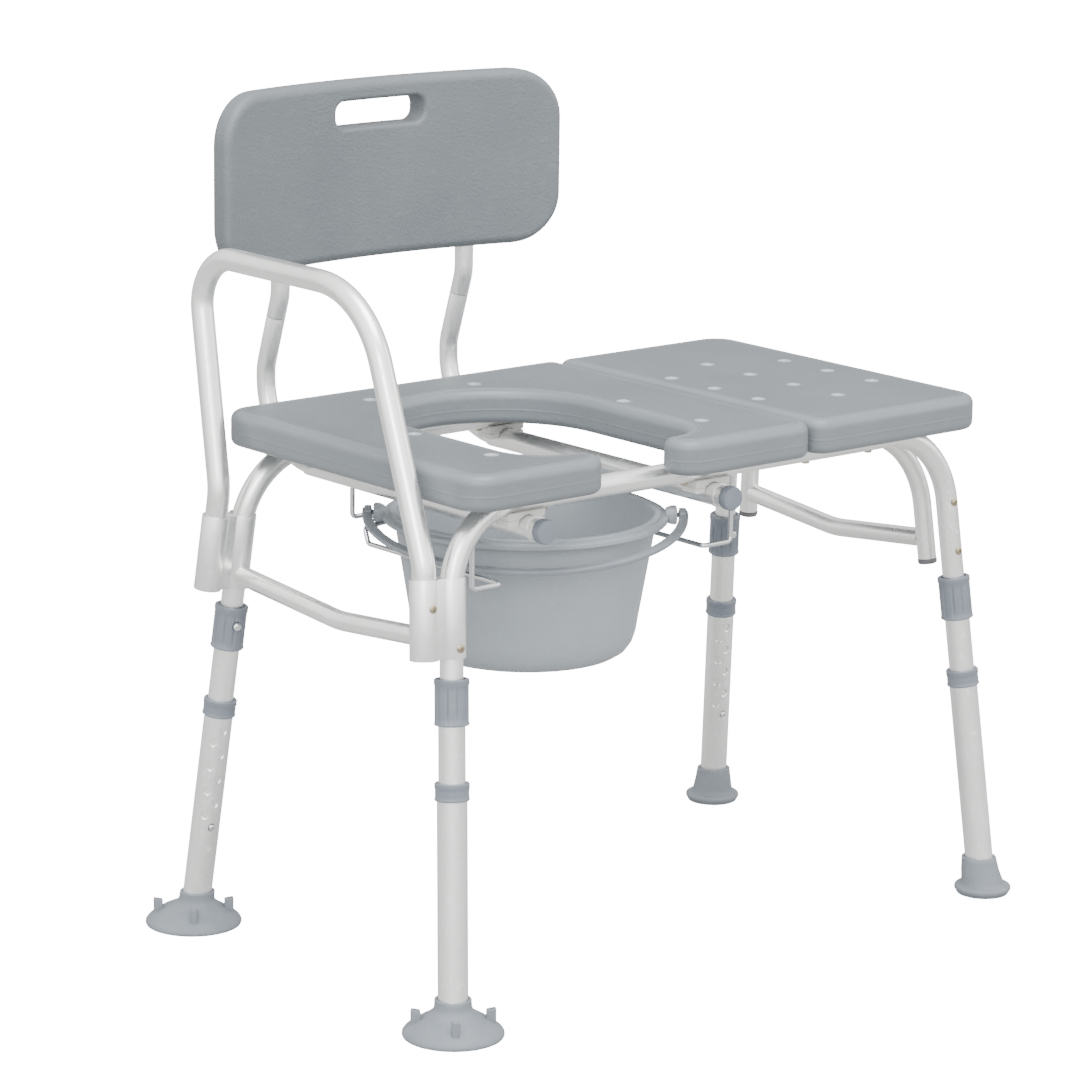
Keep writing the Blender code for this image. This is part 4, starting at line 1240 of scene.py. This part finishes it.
def saddle_block():
    """A ribbed block with a flat foot, before its two grooves are cut."""
    width, depth = 0.022, 0.011
    steps = [(0.4620, -0.0006), (0.4626, 0.0), (0.4668, 0.0), (0.4672, -0.0012)]
    steps += [(0.4684, -0.0012), (0.4688, 0.0), (0.4744, 0.0), (0.4750, -0.0006)]
    loops = []
    for z, grow in steps:
        corners = [(-width - grow, -depth - grow, 0.002), (width + grow, -depth - grow, 0.002)]
        corners += [(width + grow, depth + grow, 0.002), (-width - grow, depth + grow, 0.002)]
        loops.append([Vector((p.x, p.y, z)) for p in offset_outline(corners, 0.0, 4)])
    return tidy(loft("saddle", loops))


for row, side_y in ROWS:
    for side, sign in SIDES:
        x = OPENING_X + sign * BACK_SPREAD
        y = leg_point(1, side_y, RAIL_Z).y
        block = saddle_block()
        block.data.transform(Matrix.Translation((x, y, 0)))
        block = carve(block, tube("groove", frame_path(side_y), RAIL_CHANNEL, None, SADDLE_WHITE, 32))
        across = [Vector((x, -0.3, RECEIVER_Z)), Vector((x, 0.3, RECEIVER_Z))]
        block = carve(block, tube("groove", across, FRAME_TUBE + 0.0016, None, SADDLE_WHITE, 32))
        keep(block, "frame", "white_saddle_plastic", [f"{row}_{side}_saddle"], SADDLE_WHITE)
print("receivers at x", [round(OPENING_X + s * BACK_SPREAD, 3) for s in (-1, 1)])

# %% [markdown]
# A back post is one line of corners from the receiver up to the panel, cut in two at its joint.
# Both pieces come from the same path, so they are sure to line up, and a hair's width of air
# between them shows where they meet.

# %% Back posts
POST_REAR_Y = 0.2415
POST_TOP_Y = 0.2175
POST_JOINT_Z = 0.600


def post_path(x):
    """The bend line of a whole back post."""
    corners = [(x, 0.030, RECEIVER_Z), (x, POST_REAR_Y, RECEIVER_Z), (x, POST_REAR_Y, 0.547)]
    corners += [(x, POST_TOP_Y, 0.622), (x, POST_TOP_Y, 0.745)]
    return rounded_path(corners, [0.075, 0.05, 0.05], 16)


def split_path(path, z, gap):
    """A path cut in two at a height, with a small gap."""
    index = next(i for i, p in enumerate(path) if p.z > z)
    low, high = path[index - 1], path[index]
    seam = low.lerp(high, (z - low.z) / (high.z - low.z))
    along = (high - low).normalized()
    return path[:index] + [seam - along * gap / 2], [seam + along * gap / 2] + path[index:]


for side, sign in SIDES:
    lower, upper = split_path(post_path(OPENING_X + sign * BACK_SPREAD), POST_JOINT_Z, 0.0006)
    for label, path, node in (("lower", lower, "back_post"), ("upper", upper, "upper_post")):
        piece = tube(f"{side}_{label}_post_tube", path, 0.019, 0.0012)
        piece = soften(piece, 0.0003, 2, 60)
        keep(piece, "backrest", "satin_aluminium", [f"{side}_{node}"], TUBE_SATIN)
print("posts split at", POST_JOINT_Z)

# %% [markdown]
# The panel is moulded like the boards and bowed to fit a back. It is lofted flat, the hand slot
# is cut with a rolled lip, and then it is sliced into narrow strips and laid on the bow.

# %% Back panel
PANEL_LOW = 0.650
PANEL_HIGH = 0.828
PANEL_HALF = 0.2105
PANEL_THICK = 0.028
PANEL_CORNER = 0.050
SLOT_Z = 0.795
BOW_Y = 0.222
BOW_RADIUS = 0.66


def panel_profile():
    """(inset, depth) steps from the rear face round to the front."""
    half = PANEL_THICK / 2
    points = [(0.0125, -half), (0.0100, -half)]
    points += arc((0.009, -half + 0.009), 0.009, 270, 180, 8)
    points += [(0.0, -0.0042), (0.0, -0.0016)]
    points += [(0.0, -0.0006), (-0.00015, -0.0003), (-0.00015, 0.0003), (0.0, 0.0006)]
    points += [(0.0, 0.0016), (0.0, 0.0042)]
    points += arc((0.009, half - 0.009), 0.009, 180, 90, 8)
    return points + [(0.0100, half), (0.0110, half)]


def slot_cutter():
    """A long hole with rounded corners whose lip rolls over both faces."""
    half = PANEL_THICK / 2
    roll = 0.004
    wide, tall = 0.055, 0.013
    corners = [(x, y, 0.011) for x, y in ((-wide, -tall), (wide, -tall), (wide, tall), (-wide, tall))]
    lip = [(0.0, -half), (0.0015, -half + 0.0003), (0.0030, -half + 0.0015), (0.004, -half + 0.004)]
    steps = [(-roll - 0.001, -half - 0.01), (-roll - 0.001, -half)]
    steps += [(-roll + inset, z) for inset, z in lip]
    steps += [(-roll + inset, -z) for inset, z in reversed(lip)]
    steps += [(-roll - 0.001, half), (-roll - 0.001, half + 0.01)]
    loops = []
    for inset, z in steps:
        loops.append([Vector((p.x, p.y + SLOT_Z, z)) for p in offset_outline(corners, inset)])
    return tidy(loft("slot", loops))


def bow(obj, slices=44):
    """Slice the flat panel upright and lay it on the bow; its depth axis becomes Y."""
    body = bmesh.new()
    body.from_mesh(obj.data)
    for i in range(1, slices):
        x = -PANEL_HALF + 2 * PANEL_HALF * i / slices
        parts = body.verts[:] + body.edges[:] + body.faces[:]
        bmesh.ops.bisect_plane(body, geom=parts, plane_co=(x, 0, 0), plane_no=(1, 0, 0))
    for vertex in body.verts:
        x, z, depth = vertex.co
        vertex.co = (OPENING_X + x, BOW_Y - x**2 / (2 * BOW_RADIUS) - depth, z)
    bmesh.ops.recalc_face_normals(body, faces=body.faces)
    body.to_mesh(obj.data)
    body.free()
    return obj


corners = [(-PANEL_HALF, PANEL_LOW, PANEL_CORNER), (PANEL_HALF, PANEL_LOW, PANEL_CORNER)]
corners += [(PANEL_HALF, PANEL_HIGH, PANEL_CORNER), (-PANEL_HALF, PANEL_HIGH, PANEL_CORNER)]
loops = []
for inset, depth in panel_profile():
    loops.append([Vector((p.x, p.y, depth)) for p in offset_outline(corners, inset)])
panel = tidy(loft("back_panel_shell", loops))
panel = bow(carve(panel, slot_cutter()))
for sign in (-1, 1):
    x = OPENING_X + sign * BACK_SPREAD
    path = [Vector((x, POST_TOP_Y, PANEL_LOW - 0.02)), Vector((x, POST_TOP_Y, 0.7455))]
    panel = carve(panel, tube("post_channel", path, 0.0198, None, BOARD_EDGE_PAINTED_LIGHT, 32))
keep(panel, "backrest", "grey_board_plastic", ["back_panel"], BOARD_GRAIN)
print("panel faces", len(panel.data.polygons))

# %% [markdown]
# ## Bucket, rack and handle
# The bucket is a thin tapered pail with a stepped rim. It sits in a rack of two bent wires and
# slides out to the front. Its handle is a flat strap on two pins, with finger waves along its
# inner edge.

# %% Bucket
BUCKET_Y = middle("commode_bucket").y
RIM_Z = 0.434
BASE_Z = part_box("commode_bucket")[0][2]
BAIL_PIVOT_Z = 0.430
BAIL_TURN = math.radians(-39)


def bucket_profile():
    """The pail from the middle of its floor up to the rim and down its outside."""
    inside = [(0.0, BASE_Z + 0.0025), (0.084, BASE_Z + 0.0025), (0.092, BASE_Z + 0.0040)]
    inside += [(0.0985, BASE_Z + 0.0080), (0.1035, BASE_Z + 0.015), (0.1072, BASE_Z + 0.026)]
    inside += [(0.1085, BASE_Z + 0.034)]
    steps = 14
    for i in range(1, steps + 1):
        t = i / steps
        height = BASE_Z + 0.034 + (RIM_Z - 0.010 - BASE_Z - 0.034) * t
        inside.append((0.1085 + (0.1243 - 0.1085) * t, height))
    rim = [
        (radius, RIM_Z - drop)
        for radius, drop in (
            (0.1250, 0.004), (0.1256, 0.0008), (0.1264, 0.0), (0.1312, 0.0), (0.1320, 0.0008),
            (0.1322, 0.0026), (0.1330, 0.0032), (0.1382, 0.0034), (0.1390, 0.0042),
            (0.1390, 0.0074), (0.1384, 0.0080), (0.1368, 0.0080), (0.1362, 0.0074),
            (0.1360, 0.0056), (0.1300, 0.0052), (0.1284, 0.0056), (0.1274, 0.0072),
        )
    ]
    outside = []
    for i in range(steps + 1):
        t = i / steps
        height = RIM_Z - 0.012 + (BASE_Z + 0.034 - RIM_Z + 0.012) * t
        outside.append((0.1268 + (0.1110 - 0.1268) * t, height))
    outside += [(0.1095, BASE_Z + 0.024), (0.1062, BASE_Z + 0.0135), (0.1010, BASE_Z + 0.0060)]
    outside += [(0.0940, BASE_Z + 0.0016), (0.0860, BASE_Z), (0.0, BASE_Z)]
    return inside + rim + outside


def mould_marks(angle, radius, height):
    """Faint upright mould lines and one round witness mark on the wall."""
    if height > RIM_Z - 0.013 or height < BASE_Z + 0.02 or radius < 0.1:
        return 0.0
    line = max(0.0, math.cos(angle * 5 + 0.6)) ** 160
    across = ((angle - math.radians(243) + math.pi) % (2 * math.pi) - math.pi) * radius
    away = math.hypot(across, height - 0.352)
    dimple = 1 / (1 + math.exp((away - 0.017) / 0.0012))
    return -0.0007 * line - 0.0009 * dimple


def lug():
    """The pad at the rim that holds one end of the handle."""
    steps = [(-0.0085, 0.0095, 0.0060), (-0.0040, 0.0110, 0.0080), (0.0, 0.0110, 0.0085)]
    steps += [(0.0018, 0.0106, 0.0081), (0.0026, 0.0092, 0.0068)]
    loops = []
    for x, half_y, half_z in steps:
        corners = [(-half_y, -half_z, half_z * 0.7), (half_y, -half_z, half_z * 0.7)]
        corners += [(half_y, half_z, half_z * 0.7), (-half_y, half_z, half_z * 0.7)]
        loops.append([Vector((x, p.x, p.y)) for p in offset_outline(corners, 0.0, 8)])
    return tidy(loft("lug", loops))


def at_pivot(sign, reach):
    """A place on the handle's pivot line, and the matrix that turns +X along it."""
    way = BAIL_TURN + (math.pi if sign < 0 else 0)
    turn = Matrix.Rotation(way, 4, "Z")
    spot = Vector((OPENING_X, BUCKET_Y, BAIL_PIVOT_Z)) + turn @ Vector((reach, 0, 0))
    return Matrix.Translation(spot) @ turn


LUG_REACH = 0.1446
pail = turned("bucket_pail", bucket_profile(), 192, False, mould_marks)
pail.data.transform(Matrix.Translation((OPENING_X, BUCKET_Y, 0)))
for sign in (-1, 1):
    pad = lug()
    pad.data.transform(at_pivot(sign, LUG_REACH))
    pail = carve(pail, pad, "UNION")
    hole = turned("pin_hole", [(0, 0.012), (0.0031, 0.012), (0.0031, -0.004), (0, -0.004)], 24)
    hole.data.transform(at_pivot(sign, LUG_REACH) @ Matrix.Rotation(math.radians(90), 4, "Y"))
    pail = carve(pail, hole)
keep(pail, "bucket", "light_grey_bucket_plastic", ["commode_bucket"], BUCKET_GREY, 38)
print("bucket faces", len(pail.data.polygons))

# %% [markdown]
# The strap handle is swept by angle: at each step a rounded section is drawn between an inner
# and an outer radius, and the inner radius ripples where the fingers go.

# %% Strap handle
BAIL_DROOP = math.radians(8.0)


def strap_section(inner, outer, thick):
    """A rounded rectangle, 16 points round, in (radius, height)."""
    r = 0.0014
    near, far = inner + r, outer - r
    low, high = -thick + r, thick - r
    points = []
    for cx, cz, start in ((far, high, 0), (near, high, 90), (near, low, 180), (far, low, 270)):
        points += arc((cx, cz), r, start, start + 90, 3)
    return points


def strap():
    """The half ring of the handle, with finger waves in its middle stretch."""
    inner, outer, steps = 0.1486, 0.1582, 220
    overrun = math.radians(2.5)
    loops = []
    for i in range(steps + 1):
        angle = -overrun + (math.pi + 2 * overrun) * i / steps
        front = abs(angle - math.pi / 2)
        grip = 1 / (1 + math.exp((front - 0.42) / 0.03))
        wave = 0.0011 * grip * (1 - math.cos(angle * 42)) / 2
        ring = strap_section(inner + wave, outer, 0.0025)
        loops.append([Vector((r * math.cos(angle), -r * math.sin(angle), z)) for r, z in ring])
    return tidy(loft("bucket_strap", loops))


def eye(sign):
    """The round end of the strap, lying flat against the lug."""
    profile = [(0.0, 0.0030), (0.0062, 0.0030), (0.0070, 0.0022)]
    profile += [(0.0070, -0.0034), (0.0064, -0.0040), (0.0, -0.0040)]
    made = turned("eye", profile, 40)
    turn = Matrix.Rotation(math.radians(90 * sign), 4, "Y")
    made.data.transform(Matrix.Translation((sign * 0.1530, 0, 0)) @ turn)
    return made


def pin(sign):
    """The round pin that goes through the lug."""
    made = turned("pin", [(0, 0.0105), (0.0024, 0.0105), (0.0024, 0.0), (0, 0.0)], 24)
    turn = Matrix.Rotation(math.radians(-90 * sign), 4, "Y")
    made.data.transform(Matrix.Translation((sign * 0.1525, 0, 0)) @ turn)
    return made


bail = strap()
for sign in (-1, 1):
    bail = carve(bail, eye(sign), "UNION")
    bail = carve(bail, pin(sign), "UNION")
tilt = Matrix.Rotation(BAIL_TURN, 4, "Z") @ Matrix.Rotation(BAIL_DROOP, 4, "X")
bail.data.transform(Matrix.Translation((OPENING_X, BUCKET_Y, BAIL_PIVOT_Z)) @ tilt)
# The strap's darker finish is painted shade.
keep(bail, "bail", "light_grey_bucket_plastic", ["bucket_bail"], STRAP_PAINTED_SHADE, 38)
print("handle faces", len(bail.data.polygons))

# %% [markdown]
# Two bent wires make the rack that the bucket slides in. Each drops from a receiver, steps in,
# runs forward along the bucket's side under the rim, and climbs to the board again. A rod is
# a tube without a wall, so the same tree sweeps it.

# %% Rack wires
WIRE = 0.005
WIRE_STEP_Z = 0.4195
WIRE_LOW_Z = 0.402
for side, sign in SIDES:
    reaches = (BACK_SPREAD, 0.096, 0.127, 0.162)
    post_x, step_x, run_x, end_x = (OPENING_X + sign * reach for reach in reaches)
    corners = [
        (post_x, 0.100, RECEIVER_Z - FRAME_TUBE / 2 - 0.0008),
        (post_x, 0.100, WIRE_STEP_Z),
        (step_x, 0.100, WIRE_STEP_Z),
        (step_x, 0.066, WIRE_STEP_Z),
        (run_x, 0.066, 0.4170),
        (run_x, 0.060, WIRE_LOW_Z),
        (run_x, -0.142, WIRE_LOW_Z),
        (end_x, -0.142, WIRE_LOW_Z),
        (end_x, -0.142, SEAT_LOW - 0.001),
    ]
    wire = tube(side + "_rack_wire", rounded_path(corners, [0.005] * 7, 8), WIRE, None, RACK_WIRE, 20)
    keep(wire, "frame", "bright_wire", [side + "_bucket_wire"], RACK_WIRE)
print("rack wires run at", WIRE_LOW_Z)

# %% [markdown]
# ## Screws
# Small screws hold the sleeves, the stub tubes and the boards. One pan head with a cross recess
# is made once, and the copies tree sets it wherever a screw goes.

# %% Screw heads
def pan_head(radius=0.0042, height=0.0021):
    """A low domed head with a cross recess, standing on z = 0."""
    profile = [(0.0, height), (radius * 0.5, height - 0.0002), (radius * 0.82, height - 0.0006)]
    profile += [(radius * 0.97, height - 0.0012), (radius, 0.0003), (radius, -0.0006), (0.0, -0.0006)]
    head = turned("pan_head", profile, 28)
    for turn in (0, 90):
        slot = mesh_object("recess", [], [])
        body = bmesh.new()
        bmesh.ops.create_cube(body, size=1.0, matrix=Matrix.Diagonal((radius * 1.2, 0.0009, 0.0026, 1)))
        body.to_mesh(slot.data)
        body.free()
        spin = Matrix.Rotation(math.radians(turn), 4, "Z")
        slot.data.transform(Matrix.Translation((0, 0, height)) @ spin)
        head = carve(head, slot)
    return head


def beside(point, way, radius):
    """A spot on a tube's side: its axis point moved out by the radius."""
    way = Vector(way).normalized()
    return point + way * radius, way


screw_spots = []
for side_y in (-1, 1):
    out = (0, side_y, 0)
    screw_spots.append(beside(arm_point(side_y, 0.402), out, SLEEVE_RADIUS))
    screw_spots.append(beside(leg_point(-1, side_y, 0.361), out, SLEEVE_RADIUS))
    screw_spots.append(beside(leg_point(1, side_y, 0.409), out, FRAME_TUBE / 2))
    screw_spots.append(beside(leg_point(1, side_y, 0.359), out, FRAME_TUBE / 2))
    rail = leg_point(1, side_y, RAIL_Z).y
    for x in (-0.205, -0.030, 0.130, 0.215):
        screw_spots.append(beside(Vector((x, rail, RAIL_Z)), (0, 0, -1), FRAME_TUBE / 2))
screws = copies("frame_screws", pan_head(), screw_spots, SCREW_ZINC)
keep(screws, "frame", "button_steel", (), SCREW_ZINC)
print(len(screw_spots), "screws")
